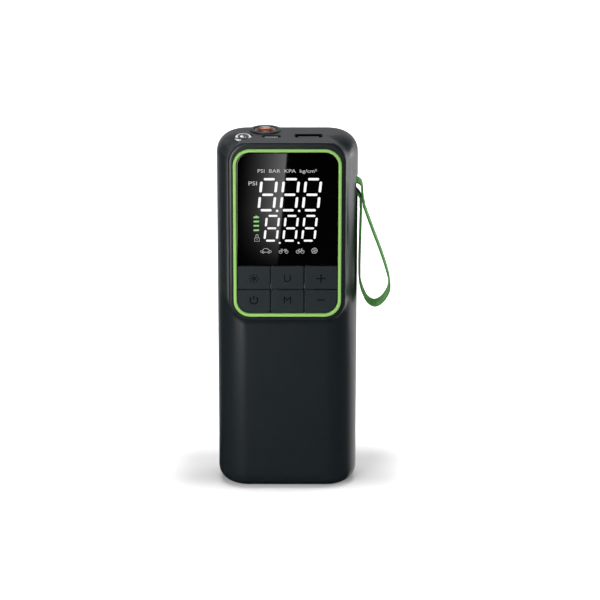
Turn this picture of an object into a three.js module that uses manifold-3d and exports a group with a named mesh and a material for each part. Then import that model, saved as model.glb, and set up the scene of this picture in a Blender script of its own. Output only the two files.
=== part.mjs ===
// A portable tire inflator: a slim upright case with a raised display pod, keys, a work lamp,
// charging sockets and an air outlet on top, a ribbon wrist strap on its right side, and inside it
// a motor, a geared crank and a piston pump above two battery cells.
// Millimetres. +Z up, +X to the right of the display, the display faces -Y. The origin is the
// middle of the flat base.
import * as THREE from 'three';
import { mergeVertices } from 'three/addons/utils/BufferGeometryUtils.js';
import Module from 'manifold-3d';

const wasm = await Module();
wasm.setup();

// ---- Driving dimensions -------------------------------------------------------------------

const clearance = 0.3; // between pieces that seat on or slide past each other

// Case
const bodyWidth = 70;
const bodyDepth = 34;
const bodyHeight = 184;
const planRadius = 15.5; // upright corners, seen from above
const topFillet = 10;
const bottomFillet = 8;
const wall = 2.2;
const coverDepth = 5.5; // of the rear cover, behind the seam
const lipReach = 1.8; // how far the cover's lip reaches into the case
const lipThickness = 1.2;

// Display pod
const podWidth = 58;
const podHeight = 92.8;
const podRadius = 10.5;
const podProud = 2;
const podEdge = 2;
const podRoot = 14; // from the pod's face back into the case

// Trim ring round the display and keys
const ringSideMargin = 2.2;
const ringTopMargin = 3.7;
const ringBottomMargin = 2.4;
const ringRadius = 8.5;
const ringBand = 1.7;
const ringDepth = 2.3;
const ringProud = 0.2;

// Display and keys
const lensThickness = 1.8;
const lensRecess = 0.3;
const keypadHeight = 25;
const keyColumns = 3;
const keyRows = 2;
const keyGap = 0.4;
const keyThickness = 1;
const keyTravel = 0.6;
const keyStemWidth = 8;
const keyStemHeight = 6;
const ledgeWidth = 2.6; // of the shelf that carries the lens and surrounds the keys
const moduleDepth = 3.7;
const matThickness = 0.7;
const domeRadius = 2.6;
const domeHeight = 0.7;
const boardThickness = 1.6;
const boardWidth = 52;
const boardBelowKeys = 2;
const chipSizes = [[7, 7], [10, 8], [5, 4]];
const chipPitch = 16;
const chipAboveFoot = 15;
const chipHeight = 0.5;
const boardAboveDisplay = -0.7;

// Lamp
const lampX = -21.7;
const lampY = -7.5;
const lampRadius = 4.4;
const lampSeatDepth = 1.7; // below the top of the case
const lampDomeHeight = 2.2;
const lampFlange = 0.8;
const lampCupHeight = 4.5;
const lampCupRadius = 3.6;
const lampBoardRadius = 4;
const lampBoardThickness = 1.5;

// Sockets
const socketRecess = 0.2;
const wideSocket = { centreX: 10.4, width: 13.2, depth: 5.8, length: 13.5, corner: 0.8 };
const slimSocket = { centreX: -7.9, width: 8.94, depth: 3.26, length: 7.5, corner: 1.5 };
const socketMetal = 0.4;
const wideTongueThickness = 1.84;
const slimTongueThickness = 0.7;

// Air outlet
const outletX = -10.9;
const outletY = 3;
const collarRadius = 7.8;
const collarProud = 0.8;
const collarEdge = 0.5;
const collarBelow = 5.5; // of its boss, below the top of the case
const nozzleRadius = 5.4;
const nozzleBore = 4;
const nozzleBoreDepth = 10;
const nozzleFloor = 2;
const nozzleNeckRadius = 4.7;
const nozzleShoulder = 4.5; // how far below its rim the nozzle narrows
const nozzleRim = 0.2; // above the collar
const tailRadius = 2.2;
const tailBore = 1.2;
const tailLength = 3;
const nutFlats = 13;
const nutHeight = 2.6;
const sealSection = 0.8;
const tubeWall = 1;
const tubeSlack = 1.5; // between the two tails inside the air tube

// Pressure sensor
const sensorX = 14;
const sensorBelowTop = 39;
const sensorWidth = 8;
const sensorDepth = 4;
const sensorPortRadius = 1.2;
const sensorPortLength = 3.5;

// Air pump
const pumpX = -14.5;
const pumpY = 2;
const cylinderBore = 9;
const cylinderWall = 2;
const finDepth = 1;
const finCount = 2;
const finGroove = 2.6;
const headThickness = 4.5;
const valveRadius = 2.6;
const valveThickness = 0.6;
const headClearance = 0.8;
const crankRadius = 5;
const rodLength = 24;
const rodThickness = 4;
const rodShank = 5;
const smallEyeRadius = 3.6;
const bigEyeRadius = 6;
const gudgeonRadius = 1.5;
const crankPinRadius = 2;
const bearingWall = 1.7;
const pistonAbove = 6;
const pistonBelow = 4.5;
const ringGrooveHeight = 1.8;
const ringGrooveDepth = 1.4;
const ringGrooveBelowCrown = 1.4;
const gearModule = 0.8;
const gearTeeth = 28;
const pinionTeeth = 8;
const gearWidth = 4.4;
const gearGap = 1.2; // between the rod and the gear
const gearBore = 2;
const gearHoleRadius = 1.9;
const gearHoleCircle = 6.4;
const bushWall = 1.7;
const frameThickness = 2.5;
const frameGap = 0.5; // between the gear and the frame
const frameHalfWidth = 11;
const motorRadius = 12;
const motorCanLength = 23.4;
const motorCapLength = 2.5;
const motorCapRadius = 11;
const motorBossRadius = 3;
const motorBossLength = 1.6;
const motorShaftRadius = 1;
const saddleThickness = 2;

// Battery
const cellRadius = 9.15;
const cellLength = 65;
const cellPitch = 19.2;
const cradleWall = 1.2;
const cradleFloor = 2;
const cradleReach = 6;
const powerBoardWidth = 44;
const powerBoardDepth = 19;
const coilRadius = 4;
const coilHeight = 4;
const capacitorRadius = 3.2;
const capacitorHeight = 5.5;

// Screws
const screwX = 24;
const screwInset = 14; // from the top and from the base
const screwRadius = 1.3;
const screwHeadRadius = 2.7;
const screwHeadHeight = 1.8;
const screwSink = 0.8;
const screwReach = 9; // of the shank into the post
const postRadius = 3.2;
const postLength = 20.7;
const postRib = 1.6;
const bossRadius = 4.2;
const screwHeadEdge = 0.6;

// Vents in the rear cover
const ventCount = 5;
const ventPitch = 4;
const ventMiddle = 87; // between the battery and the motor
const ventHeight = 1.8;
const ventWidth = 24;

// Wrist strap
const barBelowTop = 27; // from the top of the case down to the middle of the bar
const barInset = 3.4; // from the side of the case to the middle of the bar
const barRadius = 1.2;
const barSeat = 1.2;
const pocketRadius = 6.4;
const pocketWidth = 13;
const pocketWall = 1.6;
const ribbonWidth = 11;
const ribbonThickness = 1.1;

// Roundness, in straight steps
const cornerSteps = 6;
const filletSteps = 5;
const hiddenCornerSteps = 4;
const hiddenFilletSteps = 3;
const roundSides = 20;
const smallSides = 12;

// ---- Finishes -----------------------------------------------------------------------------

function finish(color, roughness, metalness) {
  return { color, roughness, metalness };
}
const casePlastic = finish(0x2a2f31, 0.55, 0);
const keyPlastic = finish(0x2b3033, 0.6, 0);
const trimGreen = finish(0x78b04a, 0.45, 0);
const ribbonGreen = finish(0x4f9a4a, 0.8, 0);
const screenBlack = finish(0x050607, 0.08, 0);
const paleSilicone = finish(0xb8bcbc, 0.7, 0);
const boardGreen = finish(0x14522c, 0.5, 0);
const boardBlack = finish(0x101214, 0.5, 0);
const clearPlastic = finish(0xe8eef0, 0.05, 0);
const bright = finish(0xd8dadc, 0.15, 1);
const steel = finish(0x9a9da0, 0.35, 1);
const darkSteel = finish(0x2e3032, 0.4, 1);
const brass = finish(0xb07a52, 0.3, 1);
const aluminium = finish(0xb4b7ba, 0.4, 1);
const sintered = finish(0x77797b, 0.5, 1);
const nylon = finish(0xd9d5c6, 0.6, 0);
const blackRubber = finish(0x141414, 0.85, 0);
const cellWrap = finish(0x2f6fb0, 0.4, 0);

// ---- Solids -------------------------------------------------------------------------------

const weldTolerance = 1e-4;

// Six times the volume inside a list of triangles, negative when they face inwards.
function sixfoldVolume(positions, triangles) {
  const [a, b, c] = [new THREE.Vector3(), new THREE.Vector3(), new THREE.Vector3()];
  let sum = 0;
  for (let i = 0; i < triangles.length; i += 3) {
    a.fromArray(positions, triangles[i] * 3);
    b.fromArray(positions, triangles[i + 1] * 3);
    c.fromArray(positions, triangles[i + 2] * 3);
    sum += a.dot(b.cross(c));
  }
  return sum;
}

// A closed geometry as a solid whose faces point outwards.
function solidOf(geometry) {
  const bare = geometry.clone();
  bare.deleteAttribute('normal');
  bare.deleteAttribute('uv');
  const merged = mergeVertices(bare, weldTolerance);
  const positions = new Float32Array(merged.getAttribute('position').array);
  const triangles = [];
  const index = merged.index.array;
  for (let i = 0; i < index.length; i += 3) {
    const [p, q, r] = [index[i], index[i + 1], index[i + 2]];
    if (p !== q && q !== r && r !== p) triangles.push(p, q, r);
  }
  if (sixfoldVolume(positions, triangles) < 0) triangles.reverse();
  const triVerts = new Uint32Array(triangles);
  return new wasm.Manifold(new wasm.Mesh({ numProp: 3, vertProperties: positions, triVerts }));
}

function geometryOf(solid) {
  const { numProp, vertProperties, triVerts } = solid.getMesh();
  const positions = new Float32Array((vertProperties.length / numProp) * 3);
  for (let i = 0; i < positions.length / 3; i += 1) {
    positions.set(vertProperties.subarray(i * numProp, i * numProp + 3), i * 3);
  }
  const geometry = new THREE.BufferGeometry();
  geometry.setAttribute('position', new THREE.BufferAttribute(positions, 3));
  geometry.setIndex(Array.from(triVerts));
  geometry.computeVertexNormals();
  return geometry;
}

function join(first, ...others) {
  return others.reduce((solid, other) => solid.add(other), first);
}

function cut(first, ...tools) {
  return tools.reduce((solid, tool) => solid.subtract(tool), first);
}

function box([x0, x1], [y0, y1], [z0, z1]) {
  const geometry = new THREE.BoxGeometry(x1 - x0, y1 - y0, z1 - z0);
  geometry.translate((x0 + x1) / 2, (y0 + y1) / 2, (z0 + z1) / 2);
  return solidOf(geometry);
}

// three.js turns and lays out round things about Y. These put that axis along X, Y or Z.
const turnTo = {
  x: (geometry) => geometry.rotateZ(-Math.PI / 2),
  y: (geometry) => geometry,
  z: (geometry) => geometry.rotateX(Math.PI / 2),
};

// A round bar along an axis, from one height to another, round a point [x, y, z].
function bar(axis, radius, from, to, centre = [0, 0, 0], sides = roundSides) {
  const geometry = new THREE.CylinderGeometry(radius, radius, to - from, sides);
  geometry.translate(0, (from + to) / 2, 0);
  turnTo[axis](geometry);
  const place = new THREE.Vector3(...centre);
  place[axis] = 0;
  geometry.translate(place.x, place.y, place.z);
  return solidOf(geometry);
}

// A turned piece about an axis, from [radius, height] points.
function turned(axis, profile, centre = [0, 0, 0], sides = roundSides) {
  const points = profile.map(([radius, height]) => new THREE.Vector2(radius, height));
  const geometry = new THREE.LatheGeometry(points, sides);
  turnTo[axis](geometry);
  const place = new THREE.Vector3(...centre);
  place[axis] = 0;
  geometry.translate(place.x, place.y, place.z);
  return solidOf(geometry);
}

// A tube: an outer radius, an inner radius and two heights, as a closed turned ring.
function ringOf(axis, outer, inner, from, to, centre, sides = roundSides) {
  const profile = [[inner, from], [outer, from], [outer, to], [inner, to], [inner, from]];
  return turned(axis, profile, centre, sides);
}

// An outline drawn in the plane across an axis and drawn out along it.
const axisBasis = {
  x: [new THREE.Vector3(0, 1, 0), new THREE.Vector3(0, 0, 1), new THREE.Vector3(1, 0, 0)],
  y: [new THREE.Vector3(1, 0, 0), new THREE.Vector3(0, 0, 1), new THREE.Vector3(0, -1, 0)],
  z: [new THREE.Vector3(1, 0, 0), new THREE.Vector3(0, 1, 0), new THREE.Vector3(0, 0, 1)],
};

function extruded(axis, shape, from, to, curveSegments = 3) {
  const options = { depth: to - from, bevelEnabled: false, curveSegments };
  const geometry = new THREE.ExtrudeGeometry(shape, options);
  geometry.applyMatrix4(new THREE.Matrix4().makeBasis(...axisBasis[axis]));
  const start = axis === 'y' ? to : from;
  geometry.translate(axis === 'x' ? start : 0, axis === 'y' ? start : 0, axis === 'z' ? start : 0);
  return solidOf(geometry);
}

function roundedRect(width, height, radius, centreX = 0, centreY = 0) {
  const [w, h] = [width / 2 - radius, height / 2 - radius];
  const shape = new THREE.Shape();
  shape.absarc(centreX + w, centreY + h, radius, 0, Math.PI / 2);
  shape.absarc(centreX - w, centreY + h, radius, Math.PI / 2, Math.PI);
  shape.absarc(centreX - w, centreY - h, radius, Math.PI, Math.PI * 1.5);
  shape.absarc(centreX + w, centreY - h, radius, Math.PI * 1.5, Math.PI * 2);
  shape.closePath();
  return shape;
}

// A rounded rectangle drawn up Z, with its foot and its head edges rounded over.
function filletedPrism(form, steps = cornerSteps, roundings = filletSteps) {
  const { width, depth, radius, low, high, lowFillet, highFillet } = form;
  const levels = [];
  const foot = lowFillet > 0 ? roundings : 0;
  const head = highFillet > 0 ? roundings : 0;
  for (let k = 0; k <= foot; k += 1) {
    const turn = foot ? (Math.PI / 2) * (k / foot) : 0;
    const inset = lowFillet * (1 - Math.sin(turn));
    levels.push({ inset, z: low + lowFillet * (1 - Math.cos(turn)) });
  }
  for (let k = head; k >= 0; k -= 1) {
    const turn = head ? (Math.PI / 2) * (k / head) : 0;
    const inset = highFillet * (1 - Math.sin(turn));
    levels.push({ inset, z: high - highFillet * (1 - Math.cos(turn)) });
  }
  const positions = [];
  const corners = [[1, 1], [-1, 1], [-1, -1], [1, -1]];
  for (const { inset, z } of levels) {
    const cornerRadius = radius - inset;
    corners.forEach(([sx, sy], corner) => {
      for (let k = 0; k <= steps; k += 1) {
        const angle = (Math.PI / 2) * (corner + k / steps);
        const x = sx * (width / 2 - radius) + cornerRadius * Math.cos(angle);
        const y = sy * (depth / 2 - radius) + cornerRadius * Math.sin(angle);
        positions.push(x, y, z);
      }
    });
  }
  const around = corners.length * (steps + 1);
  const triangles = [];
  for (let level = 0; level < levels.length - 1; level += 1) {
    for (let k = 0; k < around; k += 1) {
      const [a, b] = [level * around + k, level * around + ((k + 1) % around)];
      triangles.push(a, b, b + around, a, b + around, a + around);
    }
  }
  const top = (levels.length - 1) * around;
  const [footCentre, headCentre] = [positions.length / 3, positions.length / 3 + 1];
  positions.push(0, 0, low, 0, 0, high);
  for (let k = 0; k < around; k += 1) {
    const next = (k + 1) % around;
    triangles.push(footCentre, next, k, headCentre, top + k, top + next);
  }
  const geometry = new THREE.BufferGeometry();
  geometry.setAttribute('position', new THREE.Float32BufferAttribute(positions, 3));
  geometry.setIndex(triangles);
  return geometry;
}

function part(name, solid, look, position = [0, 0, 0]) {
  const mesh = new THREE.Mesh(geometryOf(solid), new THREE.MeshStandardMaterial(look));
  mesh.name = name;
  mesh.position.set(...position);
  return mesh;
}

// ---- Places that several pieces share -----------------------------------------------------

const backY = bodyDepth / 2;
const faceY = -bodyDepth / 2 - podProud;
const seamY = backY - coverDepth;
const far = 2 * bodyHeight; // longer than any cut needs to be
const barHeight = bodyHeight - barBelowTop;

// Trim ring, ledge and the pieces behind it, from the front backwards
const ringFront = faceY - ringProud;
const ringBack = ringFront + ringDepth;
const ledgeY = ringBack + clearance;
const lensFront = faceY + lensRecess;
const lensBack = lensFront + lensThickness;
const keyBack = lensFront + keyThickness;
const innerFaceY = -bodyDepth / 2 + wall;
const stemEnd = innerFaceY - clearance / 3;
const domeFront = stemEnd + keyTravel + clearance;
const matFront = domeFront + domeHeight;
const matBack = matFront + matThickness;
const boardFront = matBack + clearance;
const boardBack = boardFront + boardThickness;
const socketFront = boardBack + clearance;

const ringWidth = podWidth - 2 * ringSideMargin;
const ringTop = bodyHeight - ringTopMargin;
const ringBottom = bodyHeight - podHeight + ringBottomMargin;
const ringHeight = ringTop - ringBottom;
const ringMiddle = (ringTop + ringBottom) / 2;
const panelWidth = ringWidth - 2 * ringBand;
const panelTop = ringTop - ringBand;
const panelBottom = ringBottom + ringBand;
const panelRadius = ringRadius - ringBand;
const keypadTop = panelBottom + keypadHeight;
const windowWidth = panelWidth - 2 * ledgeWidth;
const displayWindow = [keypadTop + ledgeWidth, panelTop - ledgeWidth];
const keypadWindow = [panelBottom + ledgeWidth, keypadTop - ledgeWidth];

// Air path, from the top downwards
const nozzleTop = bodyHeight + collarProud + nozzleRim;
const nozzleSeat = nozzleTop - nozzleBoreDepth;
const nozzleEnd = nozzleSeat - nozzleFloor;
const tailEnd = nozzleEnd - tailLength;
const spigotTop = tailEnd - tubeSlack;
const headTop = spigotTop - tailLength;
const headBottom = headTop - headThickness;
const cylinderTop = headBottom - clearance;
const crankZ = cylinderTop - headClearance - pistonAbove - rodLength - crankRadius;
const tubeInner = tailRadius + clearance;
const tubeOuter = tubeInner + tubeWall;

// The pump's own frame: the crank's centre, with the crank axis along X
const gearStart = rodThickness / 2 + gearGap;
const gearEnd = gearStart + gearWidth;
const frameStart = gearEnd + frameGap;
const frameEnd = frameStart + frameThickness;
const motorStart = frameEnd + clearance;
const motorCanEnd = motorStart + motorCanLength;
const motorZ = (-gearModule * (gearTeeth + pinionTeeth)) / 2;
const cylinderBase = rodLength - crankRadius - pistonBelow - 2 * clearance;
const cylinderOuter = cylinderBore + cylinderWall;

// The battery cradle stands on ribs, clear of the cover's lip
const cradleLow = wall + lipThickness + 3 * clearance;

// ---- Case ---------------------------------------------------------------------------------

function caseBlock(inset) {
  const form = {
    width: bodyWidth - 2 * inset,
    depth: bodyDepth - 2 * inset,
    radius: planRadius - inset,
    low: inset,
    high: bodyHeight - inset,
    lowFillet: bottomFillet - inset,
    highFillet: topFillet - inset,
  };
  const hidden = inset > 0;
  return solidOf(
    filletedPrism(
      form,
      hidden ? hiddenCornerSteps : cornerSteps,
      hidden ? hiddenFilletSteps : filletSteps,
    ),
  );
}

// The pod is the same rounded form lying on its back, with its face edge rounded.
function podBlock() {
  const geometry = filletedPrism({
    width: podWidth,
    depth: podHeight,
    radius: podRadius,
    low: 0,
    high: podRoot,
    lowFillet: 0,
    highFillet: podEdge,
  });
  geometry.rotateX(Math.PI / 2);
  geometry.translate(0, faceY + podRoot, bodyHeight - podHeight / 2);
  return solidOf(geometry);
}

function panelOutline(grow) {
  const [width, height] = [ringWidth + 2 * grow, ringHeight + 2 * grow];
  return roundedRect(width, height, ringRadius + grow, 0, ringMiddle);
}

function windowCut([low, high]) {
  return box([-windowWidth / 2, windowWidth / 2], [faceY - 1, boardFront], [low, high]);
}

function collarBoss() {
  const top = bodyHeight + collarProud;
  const low = bodyHeight - collarBelow;
  const profile = [
    [0, low],
    [collarRadius, low],
    [collarRadius, top - collarEdge],
    [collarRadius - collarEdge, top],
    [0, top],
  ];
  return turned('z', profile, [outletX, outletY, 0]);
}

// A socket's mouth: a rectangle with small corners, cut down through the top.
function socketMouth({ centreX, width, depth }) {
  const shape = roundedRect(
    width + 2 * clearance,
    depth + 2 * clearance,
    depth / 4,
    centreX,
    socketFront + depth / 2,
  );
  return extruded('z', shape, bodyHeight - topFillet, bodyHeight + 1, 2);
}

const lampSeatZ = bodyHeight - lampSeatDepth;
const barX = bodyWidth / 2 - barInset;

function screwSpots() {
  const spots = [];
  for (const z of [screwInset, bodyHeight - screwInset]) {
    for (const side of [-1, 1]) spots.push([side * screwX, z]);
  }
  return spots;
}

function strapBoss(grow) {
  const half = pocketWidth / 2 + barSeat + pocketWall + grow;
  return bar('y', pocketRadius + pocketWall + grow, -half, half, [barX, 0, barHeight]);
}

function strapPocket() {
  const half = pocketWidth / 2;
  return bar('y', pocketRadius, -half, half, [barX, 0, barHeight], roundSides);
}

function barHole() {
  const half = pocketWidth / 2 + barSeat;
  return bar('y', barRadius + clearance, -half, half, [barX, 0, barHeight], smallSides);
}

// A rib whose inner edge is hollowed to the motor's round side.
function motorSaddle(x, [y0, y1]) {
  const z = crankZ + motorZ;
  const rib = box([x, x + saddleThickness], [y0, y1], [z - motorRadius, z + motorRadius]);
  const hollow = bar('x', motorRadius + clearance, -far, far, [0, pumpY, z]);
  return cut(rib, hollow);
}

const saddlePlaces = [0.2, 0.75].map((share) => pumpX + motorStart + share * motorCanLength);

function mainHousing() {
  const posts = [];
  const postHoles = [];
  const postEnd = seamY - clearance / 2;
  for (const [x, z] of screwSpots()) {
    const post = bar('y', postRadius, postEnd - postLength, postEnd, [x, 0, z], smallSides);
    const side = Math.sign(x);
    const reach = [x, side * (bodyWidth / 2)].sort((a, b) => a - b);
    const rib = box(reach, [postEnd - postLength, postEnd], [z - postRib / 2, z + postRib / 2]);
    posts.push(post, rib);
    const hole = [x, 0, z];
    const depth = seamY - screwReach - clearance;
    postHoles.push(bar('y', screwRadius + clearance, depth, seamY + 1, hole, smallSides));
  }
  const lampPlace = [lampX, lampY, 0];
  const lampBossLow = lampSeatZ - lampCupHeight + 1;
  const lampBoss = bar('z', lampRadius + 1.6, lampBossLow, bodyHeight, lampPlace);
  const cradleRibs = [-1, 1].map((side) => {
    const middle = (side * cellPitch) / 2;
    return box(
      [middle - postRib, middle + postRib],
      [-cellRadius, cellRadius],
      [wall / 2, cradleLow - clearance],
    );
  });
  const inside = join(...posts, lampBoss, strapBoss(0), ...cradleRibs);
  const outside = join(caseBlock(0), podBlock());
  const shell = join(cut(outside, caseBlock(wall)), inside.intersect(caseBlock(0)), collarBoss());
  const ringGroove = extruded('y', panelOutline(clearance), faceY - 1, ledgeY);
  const lampSeat = bar('z', lampRadius + clearance, lampSeatZ, far, lampPlace);
  const lampHole = bar('z', lampCupRadius + clearance, lampSeatZ - lampCupHeight, far, lampPlace);
  const outletPlace = [outletX, outletY, 0];
  const outletLow = nozzleTop - nozzleShoulder - clearance;
  const outletHole = bar('z', nozzleRadius + clearance, outletLow, far, outletPlace);
  const neckLow = bodyHeight - 2 * collarBelow;
  const neckHole = bar('z', nozzleNeckRadius + clearance, neckLow, far, outletPlace);
  const behindSeam = box([-far, far], [seamY - clearance / 2, far], [-1, far + wall]);
  const boardPocket = box(
    [-boardWidth / 2 - clearance, boardWidth / 2 + clearance],
    [matFront - domeHeight - clearance, boardBack + clearance],
    [boardLow - clearance, boardHigh + clearance],
  );
  return cut(
    shell,
    behindSeam,
    ringGroove,
    windowCut(displayWindow),
    windowCut(keypadWindow),
    boardPocket,
    lampSeat,
    lampHole,
    outletHole,
    neckHole,
    socketMouth(wideSocket),
    socketMouth(slimSocket),
    strapPocket(),
    barHole(),
    ...postHoles,
  );
}

// The rear cover: the slice of the case behind the seam, with a lip, screw bosses, motor saddles
// and a column of vents.
function rearCover() {
  const inFront = box([-far, far], [-far, seamY + clearance / 2], [-1, far + wall]);
  const lipBand = box([-far, far], [seamY - lipReach, seamY + 1], [0, far]);
  const lip = cut(caseBlock(wall + clearance), caseBlock(wall + clearance + lipThickness));
  const bosses = [];
  const holes = [];
  for (const [x, z] of screwSpots()) {
    const place = [x, 0, z];
    bosses.push(bar('y', bossRadius, seamY + clearance / 2, backY, place, roundSides));
    holes.push(bar('y', screwRadius + clearance, seamY - 1, far, place, smallSides));
    const seat = screwHeadSeat(x);
    holes.push(bar('y', screwHeadRadius + clearance, seat, far, place, roundSides));
  }
  const saddleSpan = [pumpY + 0.6 * motorRadius, backY - wall / 2];
  const saddles = saddlePlaces.map((x) => motorSaddle(x, saddleSpan));
  const inside = join(...bosses, ...saddles).intersect(caseBlock(0));
  const vents = [];
  for (let k = 0; k < ventCount; k += 1) {
    const z = ventMiddle + (k - (ventCount - 1) / 2) * ventPitch;
    const slot = roundedRect(ventWidth, ventHeight, ventHeight / 2, 0, z);
    vents.push(extruded('y', slot, backY - 2 * wall, backY + 1, 2));
  }
  const postRoom = screwSpots().map(([x, z]) =>
    bar('y', postRadius + clearance, seamY - far / 2, seamY + clearance / 2, [x, 0, z], smallSides),
  );
  const ribRoom = screwSpots().map(([x, z]) => {
    const reach = [x, Math.sign(x) * bodyWidth].sort((a, b) => a - b);
    const half = postRib / 2 + clearance;
    return box(reach, [0, seamY + clearance / 2], [z - half, z + half]);
  });
  const shell = cut(caseBlock(0), caseBlock(wall), inFront);
  const collarRoom = bar('z', collarRadius + clearance, 0, far + wall, [outletX, outletY, 0]);
  const rooms = [collarRoom, strapBoss(clearance), ...postRoom, ...ribRoom];
  const lipRing = cut(lip.intersect(lipBand), ...rooms);
  return cut(join(shell, lipRing, inside), ...holes, ...vents);
}

// The screw head sits square in the curved back: its seat is set from the surface at that place.
function screwHeadSeat(x) {
  const past = Math.max(0, Math.abs(x) - (bodyWidth / 2 - planRadius));
  const surface = backY - planRadius + Math.sqrt(planRadius ** 2 - past ** 2);
  return surface - screwSink - screwHeadHeight - clearance;
}

function rearScrew() {
  const seat = screwHeadSeat(screwX) + clearance;
  const headTop = seat + screwHeadHeight;
  const head = turned('y', [
    [0, seat],
    [screwHeadRadius, seat],
    [screwHeadRadius, headTop - screwHeadEdge],
    [screwHeadRadius - screwHeadEdge, headTop],
    [0, headTop],
  ]);
  const shank = bar('y', screwRadius, seamY - screwReach, seat + 0.5, [0, 0, 0], smallSides);
  const socket = new THREE.CylinderGeometry(1.2, 1.2, 1.2, 6);
  socket.translate(0, headTop, 0);
  return cut(join(head, shank), solidOf(socket));
}

// ---- Front panel --------------------------------------------------------------------------

function trimRing() {
  const shape = panelOutline(0);
  shape.holes.push(panelOutline(-ringBand));
  return extruded('y', shape, ringFront, ringBack);
}

function panelBlock(from, to) {
  return extruded('y', panelOutline(-ringBand - clearance), from, to);
}

function displayLens() {
  const above = box([-far, far], [-far, far], [keypadTop + keyGap / 2, far + 1]);
  return panelBlock(lensFront, lensBack).intersect(above);
}

function displayModule() {
  const [low, high] = displayWindow;
  const half = windowWidth / 2 - clearance;
  return box([-half, half], [matBack - moduleDepth, matBack], [low + clearance, high - clearance]);
}

const keyWidth = panelWidth / keyColumns;
const keyHeight = keypadHeight / keyRows;
const keyNames = [
  ['key_power', 'key_mode', 'key_minus'],
  ['key_light', 'key_unit', 'key_plus'],
];

function keyCentre(column, row) {
  const x = (column - (keyColumns - 1) / 2) * keyWidth;
  return [x, 0, panelBottom + (row + 0.5) * keyHeight];
}

// A key in its own frame: a cell of the panel with a stem behind it.
function key(column, row) {
  const [x, , z] = keyCentre(column, row);
  const half = [keyWidth / 2 - keyGap / 2, keyHeight / 2 - keyGap / 2];
  const cell = box([x - half[0], x + half[0]], [-far, far], [z - half[1], z + half[1]]);
  const cap = panelBlock(lensFront, keyBack).intersect(cell);
  const stemShape = roundedRect(keyStemWidth, keyStemHeight, 1, x, z);
  return join(cap, extruded('y', stemShape, keyBack - 0.1, stemEnd, 1)).translate([-x, 0, -z]);
}

function keypadMat() {
  const sheet = roundedRect(
    windowWidth + 2 * wall,
    keypadHeight - 2 * clearance,
    2,
    0,
    panelBottom + keypadHeight / 2,
  );
  const domes = [];
  for (let column = 0; column < keyColumns; column += 1) {
    for (let row = 0; row < keyRows; row += 1) {
      const profile = [
        [0, domeFront],
        [domeRadius * 0.6, domeFront],
        [domeRadius, matFront + 0.1],
        [0, matFront + 0.1],
      ];
      domes.push(turned('y', profile, keyCentre(column, row), smallSides));
    }
  }
  return join(extruded('y', sheet, matFront, matBack, 1), ...domes);
}

const boardLow = panelBottom - boardBelowKeys;
const boardHigh = displayWindow[1] + boardAboveDisplay;

function controlBoard() {
  const shape = roundedRect(boardWidth, boardHigh - boardLow, 2, 0, (boardHigh + boardLow) / 2);
  const plate = extruded('y', shape, boardFront, boardBack, 1);
  const rise = [boardBack - clearance / 3, boardBack + chipHeight];
  const chips = chipSizes.map(([width, height], k) => {
    const x = (k - (chipSizes.length - 1) / 2) * chipPitch;
    const z = boardLow + chipAboveFoot;
    return box([x - width / 2, x + width / 2], rise, [z - height / 2, z + height / 2]);
  });
  return join(plate, ...chips);
}

// ---- Top fittings -------------------------------------------------------------------------

function lampLens() {
  const seat = lampSeatZ + clearance;
  const rim = seat + lampFlange;
  const profile = [[0, seat], [lampRadius, seat], [lampRadius, rim]];
  const domeFoot = lampRadius - 0.3;
  const steps = 5;
  for (let k = 0; k <= steps; k += 1) {
    const turn = (Math.PI / 2) * (k / steps);
    profile.push([domeFoot * Math.cos(turn), rim + lampDomeHeight * Math.sin(turn)]);
  }
  profile[profile.length - 1][0] = 0;
  return turned('z', profile, [lampX, lampY, 0]);
}

function lampReflector() {
  const top = lampSeatZ - clearance / 3;
  const low = top - lampCupHeight;
  const profile = [
    [1.4, low],
    [lampCupRadius, low],
    [lampCupRadius, top],
    [lampCupRadius - 0.4, top],
    [1.4, low + 1],
    [1.4, low],
  ];
  return turned('z', profile, [lampX, lampY, 0]);
}

function lampBoard() {
  const top = lampSeatZ - clearance / 3 - lampCupHeight - clearance;
  const disc = bar('z', lampBoardRadius, top - lampBoardThickness, top, [lampX, lampY, 0]);
  const emitter = bar('z', 1, top - 0.1, top + 1.4, [lampX, lampY, 0], 8);
  return join(disc, emitter);
}

// A socket's metal shell is open at its top and closed at its foot.
function socketShell({ centreX, width, depth, length, corner }) {
  const top = bodyHeight - socketRecess;
  const middle = socketFront + depth / 2;
  const outer = roundedRect(width, depth, corner, centreX, middle);
  const hollow = [width - 2 * socketMetal, depth - 2 * socketMetal];
  const inner = roundedRect(hollow[0], hollow[1], corner - socketMetal, centreX, middle);
  const floor = top - length + 2 * socketMetal;
  return cut(extruded('z', outer, top - length, top, 2), extruded('z', inner, floor, top + 1, 2));
}

// The contact tongue stands in the shell, its foot on the shell's floor.
function socketTongue({ centreX, length }, width, [front, back]) {
  const low = bodyHeight - socketRecess - length + 2 * socketMetal + clearance;
  const high = bodyHeight - socketRecess - 1;
  return box([centreX - width / 2, centreX + width / 2], [front, back], [low, high]);
}

function wideTongue() {
  const front = socketFront + socketMetal + 2 * clearance;
  const width = wideSocket.width - 2 * socketMetal - 2;
  return socketTongue(wideSocket, width, [front, front + wideTongueThickness]);
}

function slimTongue() {
  const middle = socketFront + slimSocket.depth / 2;
  const half = slimTongueThickness / 2;
  const width = slimSocket.width - 2 * socketMetal - 1.6;
  return socketTongue(slimSocket, width, [middle - half, middle + half]);
}

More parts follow.
